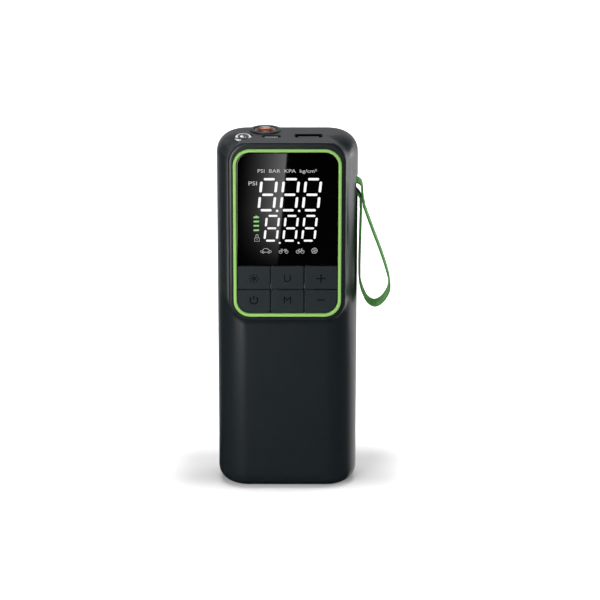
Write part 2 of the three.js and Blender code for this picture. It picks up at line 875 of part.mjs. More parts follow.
// The nozzle is a brass bush with a plain bore, a narrower neck through the case and a tail.
function outletNozzle() {
  const shoulder = nozzleTop - nozzleShoulder;
  const profile = [
    [tailBore, tailEnd],
    [tailRadius, tailEnd],
    [tailRadius, nozzleEnd],
    [nozzleNeckRadius, nozzleEnd],
    [nozzleNeckRadius, shoulder],
    [nozzleRadius, shoulder],
    [nozzleRadius, nozzleTop],
    [nozzleBore + 0.3, nozzleTop],
    [nozzleBore, nozzleTop - 0.5],
    [nozzleBore, nozzleSeat],
    [tailBore, nozzleSeat],
    [tailBore, tailEnd],
  ];
  return turned('z', profile, [outletX, outletY, 0]);
}

function nozzleNut() {
  const high = bodyHeight - collarBelow - clearance;
  const radius = nutFlats / 2 / Math.cos(Math.PI / 6);
  const blank = bar('z', radius, high - nutHeight, high, [outletX, outletY, 0], 6);
  const place = [outletX, outletY, 0];
  return cut(blank, bar('z', nozzleNeckRadius + clearance, 0, far, place));
}

function outletSeal() {
  const outer = nozzleBore - clearance;
  const low = nozzleSeat + clearance;
  const place = [outletX, outletY, 0];
  return ringOf('z', outer, outer - 1.6 * sealSection, low, low + sealSection, place);
}

function airTube() {
  const [low, high] = [headTop + clearance, nozzleEnd - clearance];
  return ringOf('z', tubeOuter, tubeInner, low, high, [outletX, outletY, 0], 16);
}

// ---- Pump, in its own frame: the crank's centre, crank axis along X -----------------------

// Straight-sided teeth about a pitch circle, as an outline; `turn` sets the first tooth's angle.
function gearOutline(teeth, turn) {
  const pitch = (gearModule * teeth) / 2;
  const [tip, root] = [pitch + 0.7 * gearModule, pitch - 1.15 * gearModule];
  const step = (2 * Math.PI) / teeth;
  const [tipHalf, rootHalf] = [0.1 * step, 0.27 * step];
  const shape = new THREE.Shape();
  for (let k = 0; k < teeth; k += 1) {
    const middle = turn + k * step;
    const corners = [
      [root, middle - rootHalf],
      [tip, middle - tipHalf],
      [tip, middle + tipHalf],
      [root, middle + rootHalf],
    ];
    corners.forEach(([radius, angle], corner) => {
      const [a, b] = [radius * Math.cos(angle), radius * Math.sin(angle)];
      if (k === 0 && corner === 0) shape.moveTo(a, b);
      else shape.lineTo(a, b);
    });
  }
  shape.closePath();
  return shape;
}

function crankGear() {
  const wheel = extruded('x', gearOutline(gearTeeth, -Math.PI / 2), gearStart, gearEnd);
  const bore = bar('x', gearBore + clearance, 0, far, [0, 0, 0], smallSides);
  const holes = [0, 1, 2].map((quarter) => {
    const angle = (Math.PI / 2) * quarter;
    const place = [0, gearHoleCircle * Math.cos(angle), gearHoleCircle * Math.sin(angle)];
    return bar('x', gearHoleRadius, 0, far, place, smallSides);
  });
  return cut(wheel, bore, ...holes);
}

// The shaft ends flush with the gear's face, so that the crank pin can pass in front of it.
function crankShaft() {
  return bar('x', gearBore, gearStart, frameEnd + 0.6, [0, 0, 0], smallSides);
}

function crankBush() {
  const inner = gearBore + clearance;
  const place = [0, 0, 0];
  return ringOf('x', inner + bushWall, inner, frameStart - 0.2, frameEnd + 0.1, place, 16);
}

function motorPinion() {
  const half = Math.PI / pinionTeeth;
  const outline = gearOutline(pinionTeeth, Math.PI / 2 + half);
  const blank = extruded('x', outline, gearStart, gearEnd).translate([0, 0, motorZ]);
  return cut(blank, bar('x', motorShaftRadius + clearance, 0, far, [0, 0, motorZ], smallSides));
}

function motorShaft() {
  const end = motorStart + motorCanLength - 3;
  return bar('x', motorShaftRadius, gearStart - 0.5, end, [0, 0, motorZ], smallSides);
}

function motorCan() {
  const hole = motorShaftRadius + clearance;
  const profile = [
    [hole, motorStart - motorBossLength],
    [motorBossRadius, motorStart - motorBossLength],
    [motorBossRadius, motorStart],
    [motorRadius - 1, motorStart],
    [motorRadius, motorStart + 1],
    [motorRadius, motorCanEnd],
    [0, motorCanEnd],
    [0, motorCanEnd - 2],
    [hole, motorCanEnd - 2],
    [hole, motorStart - motorBossLength],
  ];
  return turned('x', profile, [0, 0, motorZ]);
}

function motorEndCap() {
  const start = motorCanEnd + clearance;
  const disc = bar('x', motorCapRadius, start, start + motorCapLength - clearance, [0, 0, motorZ]);
  const tabs = [-1, 1].map((side) =>
    box(
      [start - 0.1 + motorCapLength - clearance, start + motorCapLength + 1.4],
      [side * 4 - 1.2, side * 4 + 1.2],
      [motorZ - 0.4, motorZ + 0.4],
    ),
  );
  return join(disc, ...tabs);
}

function pumpFrame() {
  const top = cylinderBase - clearance;
  const shelfLow = top - frameThickness;
  const low = motorZ - frameHalfWidth;
  const middle = (top + low) / 2;
  const outline = roundedRect(2 * frameHalfWidth, top - low, 4, 0, middle);
  const plate = extruded('x', outline, frameStart, frameEnd, 2);
  const shelf = box([0, frameStart + 0.5], [-frameHalfWidth, frameHalfWidth], [shelfLow, top]);
  const seat = bar('z', cylinderOuter, shelfLow, top);
  return cut(
    join(plate, shelf, seat),
    bar('z', cylinderBore - 0.6, 0, far, [0, 0, 0]),
    bar('x', gearBore + 2 * clearance + bushWall, 0, far, [0, 0, 0], 16),
    bar('x', motorBossRadius + clearance, 0, far, [0, 0, motorZ], 16),
  );
}

// The cylinder is turned from bar, with grooves that leave cooling fins.
function pumpCylinder() {
  const top = cylinderTop - crankZ;
  const height = top - cylinderBase;
  const profile = [[cylinderBore, cylinderBase], [cylinderOuter, cylinderBase]];
  for (let k = 1; k <= finCount; k += 1) {
    const middle = cylinderBase + (height * k) / (finCount + 1);
    const [low, high] = [middle - finGroove / 2, middle + finGroove / 2];
    const floor = cylinderOuter - finDepth;
    profile.push([cylinderOuter, low], [floor, low], [floor, high], [cylinderOuter, high]);
  }
  profile.push([cylinderOuter, top], [cylinderBore, top], [cylinderBore, cylinderBase]);
  return turned('z', profile);
}

const spigotX = outletX - pumpX;
const spigotY = outletY - pumpY;

function cylinderHead() {
  const [low, high] = [headBottom - crankZ, headTop - crankZ];
  const place = [spigotX, spigotY, 0];
  const disc = bar('z', cylinderOuter, low, high);
  const spigot = bar('z', tailRadius, high - 0.1, spigotTop - crankZ, place, smallSides);
  const bore = bar('z', tailBore, low - 1, far, place, smallSides);
  const valveSeat = bar('z', valveRadius + clearance, low - 1, low + 1.5, place, 16);
  return cut(join(disc, spigot), bore, valveSeat);
}

function outletValve() {
  const low = headBottom - crankZ + 0.3;
  return bar('z', valveRadius, low, low + valveThickness, [spigotX, spigotY, 0], 16);
}

// At rest the crank is at the bottom of its turn, so the piston is at the foot of its stroke.
const gudgeonZ = rodLength - crankRadius;

function piston() {
  const radius = cylinderBore - clearance;
  const crown = gudgeonZ + pistonAbove;
  const grooveTop = crown - ringGrooveBelowCrown;
  const grooveLow = grooveTop - ringGrooveHeight;
  const profile = [
    [0, gudgeonZ - pistonBelow],
    [radius, gudgeonZ - pistonBelow],
    [radius, grooveLow],
    [radius - ringGrooveDepth, grooveLow],
    [radius - ringGrooveDepth, grooveTop],
    [radius, grooveTop],
    [radius, crown],
    [0, crown],
  ];
  const slotHalf = rodThickness / 2 + clearance;
  const slot = box(
    [-slotHalf, slotHalf],
    [-smallEyeRadius - 1.6, smallEyeRadius + 1.6],
    [0, gudgeonZ + smallEyeRadius + clearance],
  );
  const pinHole = bar('x', gudgeonRadius + clearance, -far, far, [0, 0, gudgeonZ], smallSides);
  return cut(turned('z', profile), slot, pinHole);
}

function pistonSeal() {
  const top = gudgeonZ + pistonAbove - ringGrooveBelowCrown - clearance;
  const low = top - ringGrooveHeight + 2 * clearance;
  const outer = cylinderBore - clearance + 0.1;
  const inner = cylinderBore - ringGrooveDepth;
  return ringOf('z', outer, inner, low, top, [0, 0, 0]);
}

function gudgeonPin() {
  const half = cylinderBore - clearance - 1.2;
  return bar('x', gudgeonRadius, -half, half, [0, 0, gudgeonZ], smallSides);
}

// The rod: two eyes joined by a tapering shank, drawn from a side view.
function connectingRod() {
  const half = rodThickness / 2;
  const low = -crankRadius;
  const shankTop = gudgeonZ - smallEyeRadius / 2;
  const shankLow = low + bigEyeRadius / 2;
  const shank = new THREE.Shape();
  shank.moveTo(-rodShank * 0.65, shankLow);
  shank.lineTo(rodShank * 0.65, shankLow);
  shank.lineTo(rodShank * 0.45, shankTop);
  shank.lineTo(-rodShank * 0.45, shankTop);
  shank.closePath();
  const bigEye = bar('x', bigEyeRadius, -half, half, [0, 0, low]);
  const smallEye = bar('x', smallEyeRadius, -half, half, [0, 0, gudgeonZ], 16);
  const bearingHole = crankPinRadius + 2 * clearance + bearingWall;
  return cut(
    join(extruded('x', shank, -half, half), bigEye, smallEye),
    bar('x', bearingHole, -far, far, [0, 0, low]),
    bar('x', gudgeonRadius + clearance, -far, far, [0, 0, gudgeonZ], smallSides),
  );
}

function rodBearing() {
  const inner = crankPinRadius + clearance;
  const half = rodThickness / 2;
  return ringOf('x', inner + bearingWall, inner, -half, half, [0, 0, -crankRadius]);
}

// The crank pin stops one clearance short of the gear's face.
function crankPin() {
  const half = rodThickness / 2;
  const place = [0, 0, -crankRadius];
  const head = bar('x', crankPinRadius + 1, -half - 1, -half - clearance, place, 16);
  const end = gearStart - clearance;
  return join(head, bar('x', crankPinRadius, -half - 0.8, end, place, smallSides));
}

// ---- Battery ------------------------------------------------------------------------------

const cellLow = cradleLow + cradleFloor + clearance;
const cellHigh = cellLow + cellLength;
const cradleHigh = cellHigh + clearance + cradleFloor;

function cradle(low, high, pocketLow, pocketHigh) {
  const half = cellRadius + clearance + cradleWall;
  const shape = roundedRect(cellPitch + 2 * half, 2 * half, half - 1);
  const pockets = [-1, 1].map((side) =>
    bar('z', cellRadius + clearance, pocketLow, pocketHigh, [(side * cellPitch) / 2, 0, 0]),
  );
  return cut(extruded('z', shape, low, high, 3), ...pockets);
}

function lowerCradle() {
  return cradle(cradleLow, cradleLow + cradleFloor + cradleReach, cellLow - clearance, far);
}

function upperCradle() {
  return cradle(cradleHigh - cradleFloor - cradleReach, cradleHigh, 0, cellHigh + clearance);
}

function batteryCell() {
  const terminal = 3;
  const crimp = 0.6;
  return turned('z', [
    [0, cellLow],
    [cellRadius, cellLow],
    [cellRadius, cellHigh - crimp - 0.6],
    [cellRadius - crimp, cellHigh - 0.6],
    [terminal, cellHigh - 0.6],
    [terminal, cellHigh],
    [0, cellHigh],
  ]);
}

function powerBoard() {
  const low = cradleHigh + clearance;
  const top = low + boardThickness;
  const half = [powerBoardWidth / 2, powerBoardDepth / 2];
  const plate = box([-half[0], half[0]], [-half[1], half[1]], [low, top]);
  const foot = top - clearance / 3;
  const coil = bar('z', coilRadius, foot, top + coilHeight, [-half[0] / 2, 0, 0], smallSides);
  const place = [half[0] / 2, 0, 0];
  const capacitor = bar('z', capacitorRadius, foot, top + capacitorHeight, place, smallSides);
  return join(plate, coil, capacitor);
}

function pressureSensor() {
  const [x, z] = [sensorX, bodyHeight - sensorBelowTop];
  const half = sensorWidth / 2;
  const back = socketFront + sensorDepth;
  const block = box([x - half, x + half], [socketFront, back], [z - half, z + half]);
  const port = bar('y', sensorPortRadius, back - 0.1, back + sensorPortLength, [x, 0, z], smallSides);
  return join(block, port);
}

// ---- Wrist strap --------------------------------------------------------------------------

// A length of ribbon seen edge on: a smooth run through points, half the thickness to each side.
function ribbonRun(points, steps) {
  const curve = new THREE.CatmullRomCurve3(points.map(([x, z]) => new THREE.Vector3(x, z, 0)));
  const near = [];
  const off = [];
  for (let k = 0; k <= steps; k += 1) {
    const point = curve.getPointAt(k / steps);
    const along = curve.getTangentAt(k / steps);
    const [nx, nz] = [(-along.y * ribbonThickness) / 2, (along.x * ribbonThickness) / 2];
    near.push(new THREE.Vector2(point.x + nx, point.y + nz));
    off.push(new THREE.Vector2(point.x - nx, point.y - nz));
  }
  const shape = new THREE.Shape([...near, ...off.reverse()]);
  return extruded('y', shape, -ribbonWidth / 2, ribbonWidth / 2);
}

function strapBar() {
  const half = pocketWidth / 2 + barSeat - clearance;
  return bar('y', barRadius, -half, half, [barX, 0, barHeight], smallSides);
}

// The ribbon goes round the bar, both ends are sewn at the seam below it, and the rest hangs as a
// hand loop. Drops are from the bar's middle, and reaches from the side of the case.
const seamDrop = 10;
const seamReach = 2.6;
const seamLength = 4.4;
const loopDrop = 64.5;
const loopBulge = 16.9;
const legReach = 1.8;

function wristStrap() {
  const hug = barRadius + clearance + ribbonThickness / 2;
  const lay = 0.6 * ribbonThickness; // the two ends lie side by side in the seam
  const side = bodyWidth / 2;
  const at = (x, z) => [side + x, barHeight + z];
  const overBar = [];
  const turnSteps = 4;
  for (let k = 0; k <= turnSteps; k += 1) {
    const angle = Math.PI * (0.5 + k / turnSteps);
    overBar.push([barX + hug * Math.cos(angle), barHeight + hug * Math.sin(angle)]);
  }
  const smallLoop = [
    at(seamReach + lay, -seamDrop),
    at(2.5, -4),
    at(1.8, 0.8),
    at(-0.6, hug + 0.3),
    ...overBar,
    at(-1, -hug - 1),
    at(1.4, -6.2),
    at(seamReach - lay, -seamDrop),
  ];
  const handLoop = [
    at(seamReach - lay, -seamDrop),
    at(legReach, -seamDrop - 12),
    at(legReach, -loopDrop + 22),
    at(legReach + 0.6, -loopDrop + 14),
    at(legReach + 3.2, -loopDrop + 4.4),
    at(9, -loopDrop),
    at(13.4, -loopDrop + 2.6),
    at(loopBulge, -loopDrop + 11),
    at(loopBulge - 1.6, -loopDrop + 20),
    at(seamReach + 8, -seamDrop - 21),
    at(seamReach + lay, -seamDrop),
  ];
  const sewn = box(
    [side + seamReach - 2 * lay, side + seamReach + 2 * lay],
    [-ribbonWidth / 2, ribbonWidth / 2],
    [barHeight - seamDrop - seamLength / 2, barHeight - seamDrop + seamLength / 2],
  );
  return join(ribbonRun(smallLoop, 24), ribbonRun(handLoop, 34), sewn);
}

// ---- Assembly -----------------------------------------------------------------------------

const inflator = new THREE.Group();
inflator.add(
  part('main_housing', mainHousing(), casePlastic),
  part('rear_cover', rearCover(), casePlastic),
  part('trim_ring', trimRing(), trimGreen),
  part('display_lens', displayLens(), screenBlack),
  part('display_module', displayModule(), boardBlack),
  part('keypad_mat', keypadMat(), paleSilicone),
  part('control_board', controlBoard(), boardGreen),
);

for (let row = 0; row < keyRows; row += 1) {
  for (let column = 0; column < keyColumns; column += 1) {
    const name = keyNames[row][column];
    inflator.add(part(name, key(column, row), keyPlastic, keyCentre(column, row)));
  }
}

screwSpots().forEach(([x, z], k) => {
  inflator.add(part(`rear_screw_${k + 1}`, rearScrew(), darkSteel, [x, 0, z]));
});

inflator.add(
  part('lamp_lens', lampLens(), clearPlastic),
  part('lamp_reflector', lampReflector(), bright),
  part('lamp_board', lampBoard(), boardGreen),
  part('wide_socket_shell', socketShell(wideSocket), bright),
  part('wide_socket_tongue', wideTongue(), boardBlack),
  part('slim_socket_shell', socketShell(slimSocket), bright),
  part('slim_socket_tongue', slimTongue(), boardBlack),
  part('outlet_nozzle', outletNozzle(), brass),
  part('nozzle_nut', nozzleNut(), steel),
  part('outlet_seal', outletSeal(), blackRubber),
  part('air_tube', airTube(), paleSilicone),
  part('pressure_sensor', pressureSensor(), boardBlack),
  part('strap_bar', strapBar(), steel),
  part('wrist_strap', wristStrap(), ribbonGreen),
  part('cell_cradle_lower', lowerCradle(), keyPlastic),
  part('cell_cradle_upper', upperCradle(), keyPlastic),
  part('battery_cell_left', batteryCell(), cellWrap, [-cellPitch / 2, 0, 0]),
  part('battery_cell_right', batteryCell(), cellWrap, [cellPitch / 2, 0, 0]),
  part('power_board', powerBoard(), boardGreen),
);

const pump = new THREE.Group();
pump.position.set(pumpX, pumpY, crankZ);
pump.add(
  part('pump_frame', pumpFrame(), aluminium),
  part('pump_cylinder', pumpCylinder(), aluminium),
  part('cylinder_head', cylinderHead(), aluminium),
  part('outlet_valve', outletValve(), steel),
  part('piston', piston(), nylon),
  part('piston_seal', pistonSeal(), blackRubber),
  part('gudgeon_pin', gudgeonPin(), steel),
  part('connecting_rod', connectingRod(), aluminium),
  part('rod_bearing', rodBearing(), steel),
  part('crank_pin', crankPin(), steel),
  part('crank_gear', crankGear(), nylon),
  part('crank_shaft', crankShaft(), steel),
  part('crank_bush', crankBush(), sintered),
  part('motor_can', motorCan(), steel),
  part('motor_end_cap', motorEndCap(), boardBlack),
  part('motor_shaft', motorShaft(), steel),
  part('motor_pinion', motorPinion(), brass),
);
inflator.add(pump);

export default inflator;
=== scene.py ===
"""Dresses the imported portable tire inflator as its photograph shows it.

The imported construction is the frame. Sizes are metres, +Z is up, the display faces -Y and the
wrist strap hangs on the +X side. Each sub-assembly is a class that builds its pieces and gives
them their finishes, and main() builds them in order.
"""

import logging
import math
from dataclasses import dataclass, field
from enum import Enum
from typing import Callable, Iterable, Sequence

import bmesh
import bpy
import numpy as np
from mathutils import Matrix, Vector


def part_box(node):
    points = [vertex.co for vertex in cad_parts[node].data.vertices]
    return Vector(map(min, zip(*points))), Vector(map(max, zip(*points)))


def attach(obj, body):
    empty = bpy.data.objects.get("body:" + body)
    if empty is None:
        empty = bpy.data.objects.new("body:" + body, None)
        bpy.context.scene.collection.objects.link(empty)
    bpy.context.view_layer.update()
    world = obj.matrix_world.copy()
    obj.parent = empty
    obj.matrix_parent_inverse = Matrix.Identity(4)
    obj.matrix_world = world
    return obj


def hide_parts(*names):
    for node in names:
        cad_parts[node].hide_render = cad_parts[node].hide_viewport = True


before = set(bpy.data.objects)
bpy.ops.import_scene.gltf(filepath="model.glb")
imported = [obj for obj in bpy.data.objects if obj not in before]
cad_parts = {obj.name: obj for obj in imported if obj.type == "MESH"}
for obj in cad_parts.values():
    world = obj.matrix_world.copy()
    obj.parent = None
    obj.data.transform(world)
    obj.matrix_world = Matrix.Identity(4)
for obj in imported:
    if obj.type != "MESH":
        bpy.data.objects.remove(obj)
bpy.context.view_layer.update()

MM = 0.001
Color = tuple[float, float, float]
Pair = tuple[float, float]

log = logging.getLogger("inflator")


def srgb(red: float, green: float, blue: float) -> Color:
    """Turns a colour read off a screen into the linear one that a shader takes.

    Args:
        red: its red, from 0 to 255.
        green: its green, from 0 to 255.
        blue: its blue, from 0 to 255.

    Returns:
        The linear colour.
    """

    def linear(value: float) -> float:
        """Undoes the screen's curve for one channel."""
        share = value / 255
        return share / 12.92 if share <= 0.04045 else ((share + 0.055) / 1.055) ** 2.4

    return (linear(red), linear(green), linear(blue))


# ---- Shader maths ---------------------------------------------------------------------------


class Wire:
    """A shader socket that does arithmetic: each operator adds one Math node."""

    def __init__(self, graph: "Graph", socket: bpy.types.NodeSocket) -> None:
        """Wraps an output socket of a node in a graph."""
        self.graph = graph
        self.socket = socket

    def math(self, operation: str, *terms: object) -> "Wire":
        """Adds a Math node for an operation, with its values or wires in order."""
        inputs = dict(enumerate(terms))
        return self.graph.add("ShaderNodeMath", {"operation": operation}, inputs)

    def __add__(self, other: object) -> "Wire":
        """self + other."""
        return self.math("ADD", self, other)

    __radd__ = __add__

    def __sub__(self, other: object) -> "Wire":
        """self - other."""
        return self.math("SUBTRACT", self, other)

    def __rsub__(self, other: object) -> "Wire":
        """other - self."""
        return self.math("SUBTRACT", other, self)

    def __mul__(self, other: object) -> "Wire":
        """self * other."""
        return self.math("MULTIPLY", self, other)

    __rmul__ = __mul__

    def __pow__(self, other: object) -> "Wire":
        """self to the power of other."""
        return self.math("POWER", self, other)

    def sine(self) -> "Wire":
        """The sine of self, in radians."""
        return self.math("SINE", self)

    def absolute(self) -> "Wire":
        """self without its sign."""
        return self.math("ABSOLUTE", self)

    def highest(self, other: object) -> "Wire":
        """The greater of self and other."""
        return self.math("MAXIMUM", self, other)

    def linear(self, low: float, high: float) -> "Wire":
        """Goes evenly from 0 to 1 as self goes from low to high, and stays within them."""
        return self.graph.add("ShaderNodeMapRange", {}, {0: self, 1: low, 2: high, 3: 0.0, 4: 1.0})

    def ramp(self, low: float, high: float, start: float = 0.0, end: float = 1.0) -> "Wire":
        """Goes smoothly from start to end as self goes from low to high.

        Args:
            low: the value at which the result is start.
            high: the value at which the result is end.
            start: the result below low.
            end: the result above high.

        Returns:
            The smooth step.
        """
        settings = {"interpolation_type": "SMOOTHSTEP"}
        inputs = {0: self, 1: low, 2: high, 3: start, 4: end}
        return self.graph.add("ShaderNodeMapRange", settings, inputs)


class Graph:
    """The nodes of one material or of the world."""

    def __init__(self, tree: bpy.types.NodeTree) -> None:
        """Takes a node tree and empties it."""
        self.tree = tree
        tree.nodes.clear()

    def node(
        self,
        kind: str,
        settings: dict[str, object] | None = None,
        inputs: dict[int | str, object] | None = None,
    ) -> bpy.types.Node:
        """Adds a node of any type.

        Args:
            kind: the node's type.
            settings: its own settings, which are set first.
            inputs: the values or wires of its sockets, by name or place.

        Returns:
            The node.
        """
        node = self.tree.nodes.new(kind)
        for name, value in (settings or {}).items():
            setattr(node, name, value)
        for name, value in (inputs or {}).items():
            socket = node.inputs[name]
            if isinstance(value, Wire):
                self.tree.links.new(value.socket, socket)
            elif hasattr(socket.default_value, "__len__") and len(socket.default_value) == 4:
                socket.default_value = (*value, 1.0) if len(value) == 3 else value
            else:
                socket.default_value = value
        return node

    def add(
        self,
        kind: str,
        settings: dict[str, object] | None = None,
        inputs: dict[int | str, object] | None = None,
        output: int | str = 0,
    ) -> Wire:
        """Adds a node and gives one of its outputs, by name or place, as a wire."""
        return Wire(self, self.node(kind, settings, inputs).outputs[output])

    def ray(self, kind: str) -> Wire:
        """1 for the rays of a kind, such as Glossy, and 0 for the others."""
        return self.add("ShaderNodeLightPath", output=f"Is {kind} Ray")

    def seen(self) -> Wire:
        """1 for the rays that reach the camera straight or through clear plastic."""
        return self.ray("Camera").highest(self.ray("Transmission"))

    def place(self) -> Wire:
        """The point's place in the object's own coordinates."""
        return self.add("ShaderNodeTexCoord", output="Object")

    def along(self, axis: str) -> Wire:
        """One of the place's coordinates: X, Y or Z."""
        return self.add("ShaderNodeSeparateXYZ", inputs={0: self.place()}, output=axis)

    def stretched(self, scale: tuple[float, float, float]) -> Wire:
        """The place with each coordinate multiplied, for a pattern with a direction."""
        return self.add("ShaderNodeMapping", inputs={"Vector": self.place(), "Scale": scale})

    def noise(self, size: float, detail: float = 2.0, place: Wire | None = None) -> Wire:
        """Soft noise from 0 to 1, with the width of its blots in metres."""
        inputs = {"Vector": place or self.place(), "Scale": 1 / size, "Detail": detail}
        return self.add("ShaderNodeTexNoise", inputs=inputs)

    def mix(self, factor: object, first: object, second: object) -> Wire:
        """Mixes two colours or wires: a factor of 0 gives the first and 1 the second."""
        settings = {"data_type": "RGBA"}
        return self.add("ShaderNodeMix", settings, {0: factor, 6: first, 7: second}, output=2)

    def bump(self, height: Wire, depth: float, normal: Wire | None = None) -> Wire:
        """Turns a height from 0 to 1 into a normal.

        Args:
            height: the height.
            depth: the height's full depth, in metres.
            normal: a normal that it adds to.

        Returns:
            The normal.
        """
        inputs: dict[int | str, object] = {"Height": height, "Distance": depth, "Strength": 1.0}
        if normal is not None:
            inputs["Normal"] = normal
        return self.add("ShaderNodeBump", inputs=inputs)

    def surface(self, sockets: dict[int | str, object]) -> None:
        """Ends the graph in a Principled shader with these sockets."""
        shader = self.add("ShaderNodeBsdfPrincipled", inputs=sockets)
        self.end("ShaderNodeOutputMaterial", shader)

    def end(self, kind: str, shader: Wire) -> None:
        """Ends the graph in an output node of a type, which shows a shader."""
        self.node(kind, inputs={"Surface": shader})


# ---- Finishes -------------------------------------------------------------------------------


@dataclass(frozen=True)
class Finish:
    """What every finish has: its colour and how rough it is."""

    color: Color
    roughness: float = 0.5

    def shade(self, graph: Graph) -> None:
        """Fills a material's graph."""
        graph.surface({"Base Color": self.color, "Roughness": self.roughness})

    def material(self, name: str) -> bpy.types.Material:
        """Makes the material.

        Args:
            name: the material's name.

        Returns:
            The material.
        """
        material = bpy.data.materials.new(name)
        material.use_nodes = True
        self.shade(Graph(material.node_tree))
        return material


@dataclass(frozen=True)
class Moulding(Finish):
    """Moulded plastic or rubber: a fine eroded grain, faint flow marks and handling sheen."""

    grain: float = 0.28 * MM
    relief: float = 0.012 * MM
    mottle: float = 0.12
    specular: float = 0.4
    coat: float = 0.0

    def shade(self, graph: Graph) -> None:
        """Fills a material's graph.

        Args:
            graph: the material's graph.
        """
        flow = graph.noise(18 * MM, 3)
        fine = graph.noise(self.grain, 2)
        rubbed = graph.noise(6 * MM, 4).ramp(0.45, 0.75)
        darker = tuple(channel * (1 - self.mottle) for channel in self.color)
        lighter = tuple(channel * (1 + self.mottle) for channel in self.color)
        graph.surface(
            {
                "Base Color": graph.mix(flow * 0.6 + fine * 0.4, darker, lighter),
                "Roughness": self.roughness + (flow - 0.5) * 0.04 - rubbed * 0.01,
                "Specular IOR Level": self.specular,
                "Coat Weight": self.coat,
                "Coat Roughness": 0.15,
                "Normal": graph.bump(fine, self.relief),
            }
        )


@dataclass(frozen=True)
class Metal(Finish):
    """Metal with fine tool marks, turned or drawn along an axis, and a little dullness."""

    marks: tuple[float, float, float] = (1.0, 1.0, 0.05)
    relief: float = 0.004 * MM
    tarnish: float = 0.15

    def shade(self, graph: Graph) -> None:
        """Fills a material's graph.

        Args:
            graph: the material's graph.
        """
        lines = graph.noise(0.25 * MM, 2, graph.stretched(self.marks))
        patches = graph.noise(2.5 * MM, 3).ramp(0.35, 0.7)
        dull = tuple(channel * (1 - self.tarnish) for channel in self.color)
        graph.surface(
            {
                "Base Color": graph.mix(patches, self.color, dull),
                "Metallic": 1.0,
                "Roughness": self.roughness + lines * 0.1 + patches * 0.06,
                "Normal": graph.bump(lines, self.relief),
            }
        )


@dataclass(frozen=True)
class WovenRibbon(Finish):
    """A ribbon woven from warp cords and fine weft, laid out on the piece's own UV map."""

    cord: float = 0.55 * MM
    pick: float = 0.42 * MM
    # The colour of the painted shade between the cords.
    shadow: Color = (0.035, 0.15, 0.028)
    selvedge: Pair = (4.6 * MM, 5.2 * MM)

    def shade(self, graph: Graph) -> None:
        """Fills a material's graph.

        Args:
            graph: the material's graph.
        """
        cloth = graph.add("ShaderNodeUVMap", {"uv_map": "cloth"})
        across = graph.add("ShaderNodeSeparateXYZ", inputs={0: cloth}, output="X")
        length = graph.add("ShaderNodeSeparateXYZ", inputs={0: cloth}, output="Y")
        cords = (across * (2 * math.pi / self.cord)).sine()
        picks = (length * (2 * math.pi / self.pick)).sine()
        weave = (cords * picks * 0.5 + 0.5) * 0.55 + cords.absolute() * 0.45
        fray = graph.noise(0.12 * MM, 3, cloth)
        edge = across.absolute().ramp(*self.selvedge)
        # Painted shade: the colour darkens towards the shadow colour in the hollows between the
        # cords, besides random fray tone and a darker band towards the edges.
        tone = weave * 0.75 + fray * 0.35 - edge * 0.25
        graph.surface(
            {
                "Base Color": graph.mix(tone, self.shadow, self.color),
                "Roughness": self.roughness + fray * 0.1,
                "Sheen Weight": 0.15,
                "Sheen Roughness": 0.5,
                "Specular IOR Level": 0.15,
                "Normal": graph.bump(weave + fray * 0.3, 0.12 * MM),
            }
        )


@dataclass(frozen=True)
class SolderResist(Finish):
    """A circuit board: lacquer over faint copper tracks."""

    track: Color = (0.05, 0.22, 0.07)
    row_turns: float = 5200.0
    column_turns: float = 4300.0

    def shade(self, graph: Graph) -> None:
        """Fills a material's graph.

        Args:
            graph: the material's graph.
        """
        wander = graph.noise(2 * MM, 1)
        rows = (graph.along("X") * self.row_turns + wander * 5).sine()
        columns = (graph.along("Z") * self.column_turns + wander * 4).sine()
        tracks = rows.highest(columns).ramp(0.8, 0.95)
        graph.surface(
            {
                "Base Color": graph.mix(tracks, self.color, self.track),
                "Roughness": self.roughness + wander * 0.1,
                "Normal": graph.bump(tracks, 0.03 * MM),
            }
        )


@dataclass(frozen=True)
class ClearMoulding(Finish):
    """Clear plastic, with a trace of moulding haze."""

    def shade(self, graph: Graph) -> None:
        """Fills a material's graph.

        Args:
            graph: the material's graph.
        """
        haze = graph.noise(1.5 * MM, 2)
        graph.surface(
            {
                "Base Color": self.color,
                "Roughness": self.roughness + haze * 0.03,
                "Transmission Weight": 0.95,
                "IOR": 1.49,
            }
        )


@dataclass(frozen=True)
class DisplayAcrylic(Finish):
    """Black acrylic over the display, nearly a mirror, with faint wiping marks."""

    def shade(self, graph: Graph) -> None:
        """Fills a material's graph.

        Args:
            graph: the material's graph.
        """
        wiped = graph.noise(9 * MM, 4, graph.stretched((1.0, 1.0, 0.35)))
        dust = graph.noise(0.5 * MM, 2).ramp(0.72, 0.8)
        graph.surface(
            {
                "Base Color": graph.mix(dust, self.color, srgb(5, 5, 6)),
                "Roughness": self.roughness + wiped * 0.02,
                "Specular IOR Level": 0.5,
            }
        )


@dataclass(frozen=True)
class LitFigure(Finish):
    """A lit figure of the display, whose brightness wanders a little in soft blots."""

    strength: float = 1.0

    def shade(self, graph: Graph) -> None:
        """Fills a material's graph.

        Args:
            graph: the material's graph.
        """
        flicker = graph.noise(1.2 * MM, 1)
        edge = tuple(channel * 0.86 for channel in self.color)
        graph.surface(
            {
                "Base Color": (0.02, 0.02, 0.02),
                "Roughness": self.roughness,
                "Specular IOR Level": 0.1,
                "Emission Color": graph.mix(flicker.ramp(0.35, 0.6), edge, self.color),
                "Emission Strength": self.strength,
            }
        )


